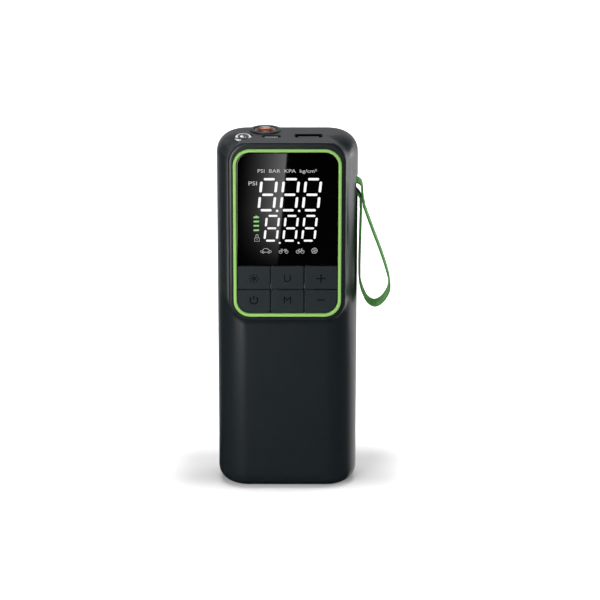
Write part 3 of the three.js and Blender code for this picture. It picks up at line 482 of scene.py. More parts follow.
class Look(Enum):
    """The finishes, each with the material slot that it belongs to."""

    CASE = ("case_plastic", Moulding(srgb(22, 28, 31), 0.3, specular=0.37))
    KEY = ("key_plastic", Moulding(srgb(24, 32, 36), 0.55, specular=0.2))
    SIGN = ("key_plastic", Moulding(srgb(5, 6, 7), 0.7, specular=0.05))
    TRIM = ("trim_plastic", Moulding(srgb(132, 178, 92), 0.45, mottle=0.04, specular=0.3))
    SCREEN = ("screen", DisplayAcrylic(srgb(1, 1, 1), 0.02))
    WHITE_LIGHT = ("screen", LitFigure((1.0, 1.0, 1.0), 0.4, 1.05))
    DIM_LIGHT = ("screen", LitFigure((0.72, 0.74, 0.74), 0.4, 0.8))
    GREEN_LIGHT = ("screen", LitFigure(srgb(150, 215, 130), 0.4, 1.0))
    BLACK = ("display_black", Moulding(srgb(24, 25, 27), 0.5))
    SILICONE = ("silicone", Moulding(srgb(176, 180, 180), 0.6, mottle=0.05, specular=0.4))
    BOARD = ("circuit_board", SolderResist(srgb(20, 74, 42), 0.35))
    SCREW = ("dark_screw", Metal(srgb(62, 64, 67), 0.34))
    CLEAR = ("lamp_clear", ClearMoulding(srgb(244, 247, 249), 0.02))
    # The torch's light glows as painted light, standing in for the bright reflection inside the
    # dome.
    LAMP = ("lamp_clear", LitFigure((1.0, 0.99, 0.96), 0.4, 1.0))
    SATIN = ("bright_metal", Metal(srgb(232, 233, 234), 0.38, tarnish=0.06))
    # Bright metal darkened to stand for the shade inside the sockets' mouths: painted shade.
    SHADED = ("bright_metal", Metal(srgb(30, 31, 33), 0.55))
    # The lamp's reflector cup glows: a painted reflection seen through the dome.
    GLOW = ("bright_metal", LitFigure((0.92, 0.93, 0.94), 0.3, 0.95))
    COPPER = ("outlet_brass", Metal(srgb(190, 132, 110), 0.4))
    GOLD = ("outlet_brass", Metal(srgb(222, 178, 96), 0.22))
    BRASS = ("outlet_brass", Metal(srgb(176, 112, 78), 0.24))
    STEEL = ("steel", Metal(srgb(168, 170, 172), 0.3))
    RUBBER = ("black_rubber", Moulding(srgb(26, 26, 27), 0.78, grain=0.12 * MM))
    RIBBON = ("strap_ribbon", WovenRibbon(srgb(90, 166, 68), 0.66))
    THREAD = ("strap_ribbon", Moulding(srgb(104, 160, 78), 0.75, grain=0.08 * MM))
    CRADLE = ("cradle_plastic", Moulding(srgb(30, 32, 34), 0.55))
    SLEEVE = ("cell_wrap", Moulding(srgb(44, 100, 168), 0.3, mottle=0.06, coat=0.3))
    CAST = ("cast_aluminium", Metal(srgb(182, 184, 187), 0.38, marks=(1.0, 1.0, 1.0)))
    NYLON = ("nylon", Moulding(srgb(214, 209, 194), 0.5, mottle=0.05, specular=0.4))

    @property
    def slot(self) -> str:
        """The finish's material slot."""
        return self.value[0]

    def material(self) -> bpy.types.Material:
        """The material, made the first time that it is asked for."""
        name = f"{self.name.lower()}_finish"
        return bpy.data.materials.get(name) or self.value[1].material(name)


# ---- Forms ----------------------------------------------------------------------------------


class Facing(Enum):
    """Where a form that was drawn in its own XY plane looks once it is placed."""

    FRONT = Matrix(((1, 0, 0), (0, 0, -1), (0, 1, 0)))
    BACK = Matrix(((-1, 0, 0), (0, 0, 1), (0, 1, 0)))
    SIDE = Matrix(((0, 0, 1), (1, 0, 0), (0, 1, 0)))
    UP = Matrix(((1, 0, 0), (0, 1, 0), (0, 0, 1)))

    def at(self, place: Vector) -> Matrix:
        """The transform that stands a form at a place and turns it this way."""
        return Matrix.Translation(place) @ self.value.to_4x4()


class Form:
    """A solid being modelled, drawn in its own XY plane and raised along its own Z."""

    def __init__(self) -> None:
        """Starts with nothing."""
        self.bm = bmesh.new()

    @classmethod
    def plate(
        cls, width: float, height: float, radii: float | Sequence[float], thickness: float
    ) -> "Form":
        """A rounded plate, centred, from its back at 0 up to its thickness.

        Args:
            width: its size along X.
            height: its size along Y.
            radii: one corner radius, or four, from the upper right anticlockwise.
            thickness: its size along Z.

        Returns:
            The plate.
        """
        form = cls()
        bm = form.bm
        bmesh.ops.create_grid(bm, x_segments=1, y_segments=1, size=0.5)
        bmesh.ops.scale(bm, vec=(width, height, 1.0), verts=bm.verts)
        if isinstance(radii, (int, float)):
            radii = [radii] * 4
        corners = [(1, 1), (-1, 1), (-1, -1), (1, -1)]
        for (sign_x, sign_y), radius in zip(corners, radii):
            if radius <= 0:
                continue
            corner = max(bm.verts, key=lambda v: sign_x * v.co.x * 1e3 + sign_y * v.co.y * 1e3)
            steps = max(3, min(14, int(radius / (0.35 * MM)) + 3))
            bmesh.ops.bevel(
                bm,
                geom=[corner],
                offset=radius,
                offset_type="OFFSET",
                segments=steps,
                profile=0.5,
                affect="VERTICES",
                material=-1,
            )
        form.raise_faces(thickness)
        return form

    @classmethod
    def turned(cls, profile: Sequence[Pair], steps: int = 64) -> "Form":
        """A turned solid about Z.

        Args:
            profile: (radius, height) points, which start and end on the axis or on each other.
            steps: how many flats go round.

        Returns:
            The solid.
        """
        form = cls()
        bm = form.bm
        verts = [bm.verts.new((radius, 0.0, height)) for radius, height in profile]
        edges = [bm.edges.new(pair) for pair in zip(verts, verts[1:])]
        bmesh.ops.spin(
            bm,
            geom=verts + edges,
            axis=(0, 0, 1),
            cent=(0, 0, 0),
            angle=2 * math.pi,
            steps=steps,
            use_merge=True,
        )
        bmesh.ops.remove_doubles(bm, verts=bm.verts, dist=1e-7)
        bmesh.ops.recalc_face_normals(bm, faces=bm.faces)
        return form

    @classmethod
    def block(cls, low: Vector, high: Vector) -> "Form":
        """A plain block.

        Args:
            low: its lowest corner.
            high: its highest corner.

        Returns:
            The block.
        """
        form = cls()
        bmesh.ops.create_cube(form.bm, size=1.0)
        bmesh.ops.scale(form.bm, vec=high - low, verts=form.bm.verts)
        bmesh.ops.translate(form.bm, vec=(low + high) / 2, verts=form.bm.verts)
        return form

    @classmethod
    def copied(cls, node: str) -> "Form":
        """A CAD node's own mesh, with its loose triangles merged and its flats made whole.

        Args:
            node: the node's name.

        Returns:
            The copy.
        """
        form = cls()
        form.bm.from_mesh(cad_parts[node].data)
        bmesh.ops.remove_doubles(form.bm, verts=form.bm.verts, dist=1e-6)
        bmesh.ops.dissolve_limit(
            form.bm, angle_limit=math.radians(1), verts=form.bm.verts, edges=form.bm.edges
        )
        return form

    def raise_faces(self, height: float) -> "Form":
        """Draws the faces out along Z into a closed solid.

        Args:
            height: how far they are drawn out.

        Returns:
            The form itself.
        """
        bm = self.bm
        made = bmesh.ops.extrude_face_region(bm, geom=bm.faces[:])
        lifted = [item for item in made["geom"] if isinstance(item, bmesh.types.BMVert)]
        bmesh.ops.translate(bm, vec=(0, 0, height), verts=lifted)
        bmesh.ops.recalc_face_normals(bm, faces=bm.faces)
        return self

    def soften(
        self,
        width: float,
        segments: int = 3,
        angle: float = 35.0,
        where: Callable[[Vector], bool] = lambda middle: True,
    ) -> "Form":
        """Rounds the sharp edges.

        Args:
            width: the size of the rounding.
            segments: how many steps it has.
            angle: the least angle, in degrees, of an edge that counts as sharp.
            where: says, from an edge's middle, whether it is taken.

        Returns:
            The form itself.
        """
        limit = math.radians(angle)
        sharp = [
            edge
            for edge in self.bm.edges
            if edge.calc_face_angle(0.0) > limit
            and where((edge.verts[0].co + edge.verts[1].co) / 2)
        ]
        bmesh.ops.bevel(
            self.bm,
            geom=sharp,
            offset=width,
            offset_type="OFFSET",
            segments=segments,
            profile=0.5,
            affect="EDGES",
            clamp_overlap=True,
            material=-1,
        )
        wide = [face for face in self.bm.faces if face.calc_area() > (12 * width) ** 2]
        bmesh.ops.inset_individual(
            self.bm, faces=wide, thickness=width * 0.5, use_even_offset=True
        )
        return self

    def placed(self, transform: Matrix) -> "Form":
        """Moves the form."""
        bmesh.ops.transform(self.bm, matrix=transform, verts=self.bm.verts)
        return self

    def merged(self, *others: "Form") -> "Form":
        """Takes other forms in beside this one.

        Args:
            others: the forms, which are used up.

        Returns:
            The form itself.
        """
        for other in others:
            mesh = bpy.data.meshes.new("passing")
            other.bm.to_mesh(mesh)
            self.bm.from_mesh(mesh)
            bpy.data.meshes.remove(mesh)
            other.bm.free()
        return self

    def loose(self, name: str) -> bpy.types.Object:
        """Turns the form into an object that is still being worked on.

        Args:
            name: the object's name.

        Returns:
            The object.
        """
        mesh = bpy.data.meshes.new(name)
        self.bm.to_mesh(mesh)
        self.bm.free()
        obj = bpy.data.objects.new(name, mesh)
        bpy.context.scene.collection.objects.link(obj)
        return obj

    def piece(
        self,
        name: str,
        look: Look,
        body: str = "housing",
        replaces: Iterable[str] = (),
        angle: float = 38.0,
    ) -> bpy.types.Object:
        """Finishes the form as a piece of the object, as finish_piece() says."""
        return finish_piece(self.loose(name), look, body, replaces, angle)


def finish_piece(
    obj: bpy.types.Object,
    look: Look,
    body: str,
    replaces: Iterable[str] = (),
    angle: float = 38.0,
) -> bpy.types.Object:
    """Smooths an object's mesh, gives it its finish and lets it ride on its body.

    Args:
        obj: the object.
        look: its finish.
        body: the CAD body that it rides on.
        replaces: the CAD nodes that it stands for.
        angle: the least angle, in degrees, of an edge that stays sharp.

    Returns:
        The object.
    """
    bm = bmesh.new()
    bm.from_mesh(obj.data)
    limit = math.radians(angle)
    for face in bm.faces:
        face.smooth = True
    for edge in bm.edges:
        edge.smooth = edge.calc_face_angle(0.0) < limit
    bm.to_mesh(obj.data)
    bm.free()
    obj.data.materials.clear()
    obj.data.materials.append(look.material())
    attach(obj, body)
    if replaces:
        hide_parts(*replaces)
    log.info("%s: %d faces", obj.name, len(obj.data.polygons))
    return obj


def settle(obj: bpy.types.Object) -> None:
    """Applies an object's modifiers to its mesh.

    Args:
        obj: the object.
    """
    graph = bpy.context.evaluated_depsgraph_get()
    mesh = bpy.data.meshes.new_from_object(obj.evaluated_get(graph))
    obj.modifiers.clear()
    old = obj.data
    obj.data = mesh
    bpy.data.meshes.remove(old)


def carve(target: bpy.types.Object, tool: bpy.types.Object, operation: str = "DIFFERENCE") -> None:
    """Cuts one object with another, and throws the tool away.

    Args:
        target: what is cut.
        tool: what cuts it.
        operation: DIFFERENCE, INTERSECT or UNION.
    """
    modifier = target.modifiers.new("carve", "BOOLEAN")
    modifier.operation = operation
    modifier.solver = "EXACT"
    modifier.object = tool
    bpy.context.view_layer.update()
    settle(target)
    bpy.data.objects.remove(tool)


class Marks:
    """Flat marks: letters from the built-in typeface, and strokes of an even width."""

    @staticmethod
    def _meshed(curve: bpy.types.Curve) -> Form:
        """Turns a curve into a form.

        Args:
            curve: the curve, which is used up.

        Returns:
            The form.
        """
        obj = bpy.data.objects.new("passing", curve)
        bpy.context.scene.collection.objects.link(obj)
        bpy.context.view_layer.update()
        graph = bpy.context.evaluated_depsgraph_get()
        mesh = bpy.data.meshes.new_from_object(obj.evaluated_get(graph))
        form = Form()
        form.bm.from_mesh(mesh)
        bpy.data.objects.remove(obj)
        bpy.data.meshes.remove(mesh)
        bpy.data.curves.remove(curve)
        return form

    @classmethod
    def letters(cls, text: str, width: float, height: float, depth: float) -> Form:
        """Letters fitted to a width and height, centred.

        Args:
            text: what they say.
            width: the size along X.
            height: the size along Y.
            depth: how far they stand out.

        Returns:
            The letters.
        """
        curve = bpy.data.curves.new("passing", "FONT")
        curve.body = text
        curve.resolution_u = 4
        curve.extrude = 0.5
        form = cls._meshed(curve)
        verts = form.bm.verts
        low = Vector(min(v.co[axis] for v in verts) for axis in range(3))
        high = Vector(max(v.co[axis] for v in verts) for axis in range(3))
        size = high - low
        bmesh.ops.translate(form.bm, vec=-(low + high) / 2, verts=verts)
        scale = (width / size.x, height / size.y, depth / size.z)
        bmesh.ops.scale(form.bm, vec=scale, verts=verts)
        return form

    @classmethod
    def strokes(cls, paths: Sequence[Sequence[Pair]], width: float, depth: float) -> Form:
        """Strokes with round ends. A path whose last point is its first is closed.

        Args:
            paths: the points of each stroke.
            width: how wide a stroke is.
            depth: how far it stands out.

        Returns:
            The strokes.
        """
        curve = bpy.data.curves.new("passing", "CURVE")
        curve.dimensions = "3D"
        curve.bevel_depth = width / 2
        curve.bevel_resolution = 2
        curve.use_fill_caps = True
        for path in paths:
            closed = path[0] == path[-1]
            points = path[:-1] if closed else path
            spline = curve.splines.new("POLY")
            spline.points.add(len(points) - 1)
            spline.use_cyclic_u = closed
            for point, (x, y) in zip(spline.points, points):
                point.co = (x, y, 0.0, 1.0)
        form = cls._meshed(curve)
        bmesh.ops.scale(form.bm, vec=(1, 1, depth / width), verts=form.bm.verts)
        return form


def arc(centre: Pair, radius: float, start: float, end: float, steps: int = 16) -> list[Pair]:
    """Points round part of a circle, with its angles in degrees."""
    angles = [math.radians(start + (end - start) * k / steps) for k in range(steps + 1)]
    return [(centre[0] + radius * math.cos(a), centre[1] + radius * math.sin(a)) for a in angles]


def circle(centre: Pair, radius: float, steps: int = 20) -> list[Pair]:
    """Points round a circle, closed on its first."""
    points = arc(centre, radius, 0, 360, steps)
    return [*points[:-1], points[0]]


# ---- Case -----------------------------------------------------------------------------------


def steps_between(start: float, end: float, step: float) -> list[float]:
    """Even places from start to end, about a step apart, without the last."""
    count = max(1, round((end - start) / step))
    return [start + (end - start) * k / count for k in range(count)]


@dataclass
class CaseSurface:
    """The case's outer surface: an upright rounded body with a raised pod blended into it."""

    half_width: float = 35 * MM
    half_depth: float = 17 * MM
    height: float = 184 * MM
    corner: float = 15.5 * MM
    top_round: float = 10 * MM
    foot_round: float = 8 * MM
    pod_half_width: float = 29 * MM
    pod_height: float = 92.8 * MM
    pod_corner: float = 10.5 * MM
    pod_face: float = -19 * MM
    pod_root: float = -5 * MM
    pod_edge: float = 1.2 * MM
    crease: float = 0.45 * MM
    blend: float = 5.0 * MM
    blend_side: Pair = (20 * MM, 28 * MM)
    blend_foot: Pair = (92 * MM, 108 * MM)
    blend_top: Pair = (174 * MM, 183 * MM)
    top_share: float = 0.2

    def distance(self, points: np.ndarray) -> np.ndarray:
        """How far points lie outside the surface, negative inside.

        Args:
            points: one row for each point.

        Returns:
            The distances.
        """
        x, y, z = points.T
        plan = self._rounded(x, y, self.half_width, self.half_depth, self.corner)
        middle = self.height / 2
        edge = np.where(z > middle, self.top_round, self.foot_round)
        body = self._drawn(plan, np.abs(z - middle) - middle, edge)
        pod_middle = self.height - self.pod_height / 2
        front = self._rounded(
            x, z - pod_middle, self.pod_half_width, self.pod_height / 2, self.pod_corner
        )
        depth_middle = (self.pod_face + self.pod_root) / 2
        half = (self.pod_root - self.pod_face) / 2
        pod = self._drawn(front, np.abs(y - depth_middle) - half, self.pod_edge)
        reach = self._reach(x, z)
        share = np.clip(0.5 + 0.5 * (pod - body) / reach, 0, 1)
        return pod + (body - pod) * share - reach * share * (1 - share)

    def _reach(self, x: np.ndarray, z: np.ndarray) -> np.ndarray:
        """How far the blend between body and pod reaches: wide at the pod's sides only.

        Args:
            x: the points' places across.
            z: the points' places up.

        Returns:
            The reaches.
        """
        side = self._step(np.abs(x), *self.blend_side)
        above = self._step(z, *self.blend_foot)
        below = 1 - self._step(z, *self.blend_top)
        share = self.top_share + (1 - self.top_share) * below
        return (self.crease + self.blend * side * above) * share

    @staticmethod
    def _step(value: np.ndarray, low: float, high: float) -> np.ndarray:
        """A smooth step from 0 at low to 1 at high."""
        share = np.clip((value - low) / (high - low), 0, 1)
        return share * share * (3 - 2 * share)

    @staticmethod
    def _rounded(
        a: np.ndarray, b: np.ndarray, half_a: float, half_b: float, radius: float
    ) -> np.ndarray:
        """The distance from a rounded rectangle, in its plane.

        Args:
            a: the points' places along its first side.
            b: the points' places along its second side.
            half_a: half its first side.
            half_b: half its second side.
            radius: its corner radius.

        Returns:
            The distances.
        """
        over_a = np.abs(a) - half_a + radius
        over_b = np.abs(b) - half_b + radius
        outside = np.hypot(np.maximum(over_a, 0), np.maximum(over_b, 0))
        return outside + np.minimum(np.maximum(over_a, over_b), 0) - radius

    @staticmethod
    def _drawn(plan: np.ndarray, end: np.ndarray, edge: np.ndarray | float) -> np.ndarray:
        """The distance from an outline drawn out into a solid with rounded ends.

        Args:
            plan: the distances from the outline.
            end: the distances past the solid's ends.
            edge: the radius of its ends' rounding.

        Returns:
            The distances.
        """
        over_plan, over_end = plan + edge, end + edge
        outside = np.hypot(np.maximum(over_plan, 0), np.maximum(over_end, 0))
        return outside + np.minimum(np.maximum(over_plan, over_end), 0) - edge

    def _levels(self) -> list[list[float]]:
        """Where the block is sliced, closest where the surface turns.

        Returns:
            The places along X, Y and Z.
        """
        half = [
            *steps_between(0, 20, 4),
            *steps_between(20, 26, 0.75),
            *steps_between(26, 30, 0.25),
            *steps_between(30, 31, 0.5),
            *steps_between(31, 35, 0.8),
        ]
        across = [-value for value in half[:0:-1]] + half
        back = [
            *steps_between(-19, -17.5, 0.25),
            *steps_between(-17.5, -12, 0.5),
            *steps_between(-12, 17, 1.4),
        ][1:]
        up = [
            *steps_between(0, 8, 0.9),
            *steps_between(8, 87, 5),
            *steps_between(87, 90, 0.75),
            *steps_between(90, 94, 0.25),
            *steps_between(94, 104, 1),
            *steps_between(104, 168, 4),
            *steps_between(168, 180, 0.8),
            *steps_between(180, 184, 0.4),
        ][1:]
        return [[value * MM for value in places] for places in (across, back, up)]

    def form(self, sink: float = 0.0) -> Form:
        """The surface as a closed form.

        Args:
            sink: how far below the true surface it lies.

        Returns:
            The form.
        """
        low = Vector((-self.half_width, self.pod_face, 0.0))
        form = Form.block(low, Vector((self.half_width, self.half_depth, self.height)))
        bm = form.bm
        for axis, places in enumerate(self._levels()):
            normal = Vector(float(axis == k) for k in range(3))
            for place in places:
                geom = [*bm.verts, *bm.edges, *bm.faces]
                bmesh.ops.bisect_plane(bm, geom=geom, plane_co=normal * place, plane_no=normal)
        self._drop(bm, sink, 12)
        for _ in range(3):
            bmesh.ops.smooth_vert(
                bm, verts=bm.verts, factor=0.4, use_axis_x=True, use_axis_y=True, use_axis_z=True
            )
            self._drop(bm, sink, 3)
        return form

    def _drop(self, bm: bmesh.types.BMesh, sink: float, rounds: int) -> None:
        """Moves every point along the steepest way onto the surface.

        Args:
            bm: the mesh.
            sink: how far below the true surface it is to lie.
            rounds: how many moves it gets.
        """
        points = np.array([vert.co for vert in bm.verts])
        probe = 0.02 * MM
        for _ in range(rounds):
            slope = np.empty_like(points)
            for axis in range(3):
                offset = np.zeros(3)
                offset[axis] = probe
                slope[:, axis] = self.distance(points + offset) - self.distance(points - offset)
            slope /= np.maximum(np.linalg.norm(slope, axis=1, keepdims=True), 1e-12)
            points -= slope * (self.distance(points) + sink)[:, None]
        for vert, point in zip(bm.verts, points):
            vert.co = point


@dataclass
class Case:
    """The moulded case: its front shell with every mouth, its rear cover, and what fixes them."""

    surface: CaseSurface = field(default_factory=CaseSurface)
    wall: float = 1.1 * MM
    seam: float = 11.5 * MM
    seam_gap: float = 0.26 * MM
    bar: Vector = field(default_factory=lambda: Vector((31.6, 0, 157)) * MM)
    pocket_radius: float = 6.4 * MM
    pocket_width: float = 13 * MM
    vent_middle: float = 87 * MM
    vent_pitch: float = 4 * MM
    vent_count: int = 5
    vent_size: Pair = (24 * MM, 1.8 * MM)
    screw_x: float = 24 * MM
    screw_head: float = 2.7 * MM
    screw_hole: float = 3.0 * MM
    screw_heights: tuple[float, float] = (14 * MM, 170 * MM)
    groove_corner: float = 8.8 * MM
    mouth_gap: float = 0.3 * MM
    mouth_floor: float = 0.176
    mouth_depth: float = 12 * MM

    def build(self) -> None:
        """Makes the case's pieces."""
        front = self._shell("case_front", side=-1)
        carve(front, self._front_tools().loose("front_tools"))
        carve(front, self._pocket_tool().loose("pocket_tool"))
        finish_piece(front, Look.CASE, "housing", ["main_housing"], 42)
        back = self._shell("case_back", side=1)
        carve(back, self._rear_tools().loose("rear_tools"))
        finish_piece(back, Look.CASE, "housing", ["rear_cover"], 42)
        self._pocket_wall()
        self._collar()
        for index, (x, z) in enumerate(self.screws(), start=1):
            self._screw(index, x, z)

    def screws(self) -> list[Pair]:
        """Where the four screws are, across and up."""
        return [(side * self.screw_x, z) for z in self.screw_heights for side in (-1, 1)]

    def _shell(self, name: str, side: int) -> bpy.types.Object:
        """One of the two shells: the surface on one side of the seam, with its wall.

        Args:
            name: the object's name.
            side: -1 for the front shell and 1 for the rear cover.

        Returns:
            The shell.
        """
        form = self.surface.form()
        bm = form.bm
        bmesh.ops.bisect_plane(
            bm,
            geom=[*bm.verts, *bm.edges, *bm.faces],
            plane_co=(0, self.seam + side * self.seam_gap / 2, 0),
            plane_no=(0, -side, 0),
            clear_outer=True,
        )
        shell = form.loose(name)
        modifier = shell.modifiers.new("wall", "SOLIDIFY")
        modifier.thickness = self.wall
        modifier.offset = -1
        modifier.use_even_offset = True
        settle(shell)
        return shell

    def _front_tools(self) -> Form:
        """What cuts the front shell: the panel's groove and the mouths on top.

        Returns:
            The tools, as one form.
        """
        low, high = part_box("trim_ring")
        size, middle = high - low, (low + high) / 2
        wider, deep = 2 * self.mouth_gap, self.mouth_depth
        groove = Form.plate(size.x + wider, size.z + wider, self.groove_corner, 6 * MM)
        tools = [groove.placed(Facing.FRONT.at(Vector((middle.x, -16.2 * MM, middle.z))))]
        for node, corner in (("wide_socket_shell", 1.1 * MM), ("slim_socket_shell", 1.6 * MM)):
            low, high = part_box(node)
            size = high - low
            mouth = Form.plate(size.x + wider, size.y + wider, corner, deep)
            place = Vector(((low.x + high.x) / 2, (low.y + high.y) / 2, self.mouth_floor))
            tools.append(mouth.placed(Facing.UP.at(place)))
        for node, radius in (("lamp_lens", 4.7 * MM), ("outlet_nozzle", 7.0 * MM)):
            low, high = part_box(node)
            middle = (low + high) / 2
            mouth = Form.turned([(0, 0), (radius, 0), (radius, deep), (0, deep)])
            place = Vector((middle.x, middle.y, self.mouth_floor))
            tools.append(mouth.placed(Facing.UP.at(place)))
        return tools[0].merged(*tools[1:])

    def _pocket_tool(self, radius: float | None = None, width: float | None = None) -> Form:
        """A round bar across the case, at the strap bar's place.

        Args:
            radius: its radius, or None for the pocket's.
            width: its length, or None for the pocket's.

        Returns:
            The bar.
        """
        radius = radius or self.pocket_radius
        half = (width or self.pocket_width) / 2
        tool = Form.turned([(0, -half), (radius, -half), (radius, half), (0, half)], 72)
        return tool.placed(Facing.FRONT.at(self.bar))

    def _pocket_wall(self) -> None:
        """Makes the cup behind the strap pocket."""
        cup = self._pocket_tool(self.pocket_radius + 1.5 * MM, self.pocket_width + 5 * MM)
        wall = cup.loose("strap_pocket")
        carve(wall, self.surface.form(0.35 * MM).loose("inside"), "INTERSECT")
        carve(wall, self._pocket_tool().loose("pocket_tool"))
        hole = self._pocket_tool(1.45 * MM, self.pocket_width + 2.4 * MM)
        carve(wall, hole.loose("bar_hole"))
        finish_piece(wall, Look.CASE, "housing", (), 42)

    def _rear_tools(self) -> Form:
        """What cuts the rear cover: the vents and the screws' holes.

        Returns:
            The tools, as one form.
        """
        tools = []
        for index in range(self.vent_count):
            z = self.vent_middle + (index - (self.vent_count - 1) / 2) * self.vent_pitch
            slot = Form.plate(*self.vent_size, 0.89 * MM, 6 * MM)
            tools.append(slot.placed(Facing.BACK.at(Vector((0, 13 * MM, z)))))
        radius, depth = self.screw_hole, 8 * MM
        for x, z in self.screws():
            hole = Form.turned([(0, 0), (radius, 0), (radius, depth), (0, depth)], 48)
            tools.append(hole.placed(Facing.BACK.at(Vector((x, 12.6 * MM, z)))))
        return tools[0].merged(*tools[1:])

    def _collar(self) -> None:
        """Makes the raised collar round the air outlet."""
        low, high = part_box("outlet_nozzle")
        top = high.z - 0.35 * MM
        inner, outer = 5.7 * MM, 7.9 * MM
        root, edge = self.surface.height - 2 * MM, 0.5 * MM
        profile = [
            (inner, root),
            (outer, root),
            (outer, self.surface.height - 0.05 * MM),
            *[
                (outer - edge + edge * math.cos(a), top - edge + edge * math.sin(a))
                for a in (math.radians(15 * k) for k in range(7))
            ],
            (inner + 0.25 * MM, top),
            (inner, top - 0.25 * MM),
            (inner, root),
        ]
        collar = Form.turned(profile, 96)
        centre = (low + high) / 2
        collar.placed(Facing.UP.at(Vector((centre.x, centre.y, 0))))
        collar.piece("outlet_collar", Look.CASE)

    def _screw(self, index: int, x: float, z: float) -> None:
        """Makes one screw of the rear cover, with a hexagon socket.

        Args:
            index: which screw it is, from 1.
            x: its place across.
            z: its place up.
        """
        node = f"rear_screw_{index}"
        low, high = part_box(node)
        face, seat = high.y, high.y - 1.8 * MM
        head = self.screw_head
        profile = [
            (0, low.y),
            (1.3 * MM, low.y),
            (1.3 * MM, seat),
            (head, seat),
            (head, face - 0.6 * MM),
            (head - 0.2 * MM, face - 0.2 * MM),
            (head - 0.7 * MM, face),
            (0, face),
        ]
        turned = Form.turned(profile, 48).placed(Facing.BACK.at(Vector((x, 0, z))))
        screw = turned.loose(node + "_head")
        socket = Form.turned([(0, 0), (1.25 * MM, 0), (1.25 * MM, 2 * MM), (0, 2 * MM)], 6)
        socket.placed(Facing.BACK.at(Vector((x, face - 1.1 * MM, z))))
        carve(screw, socket.loose("hexagon"))
        finish_piece(screw, Look.SCREW, "housing", [node], 30)


# ---- Front panel ----------------------------------------------------------------------------


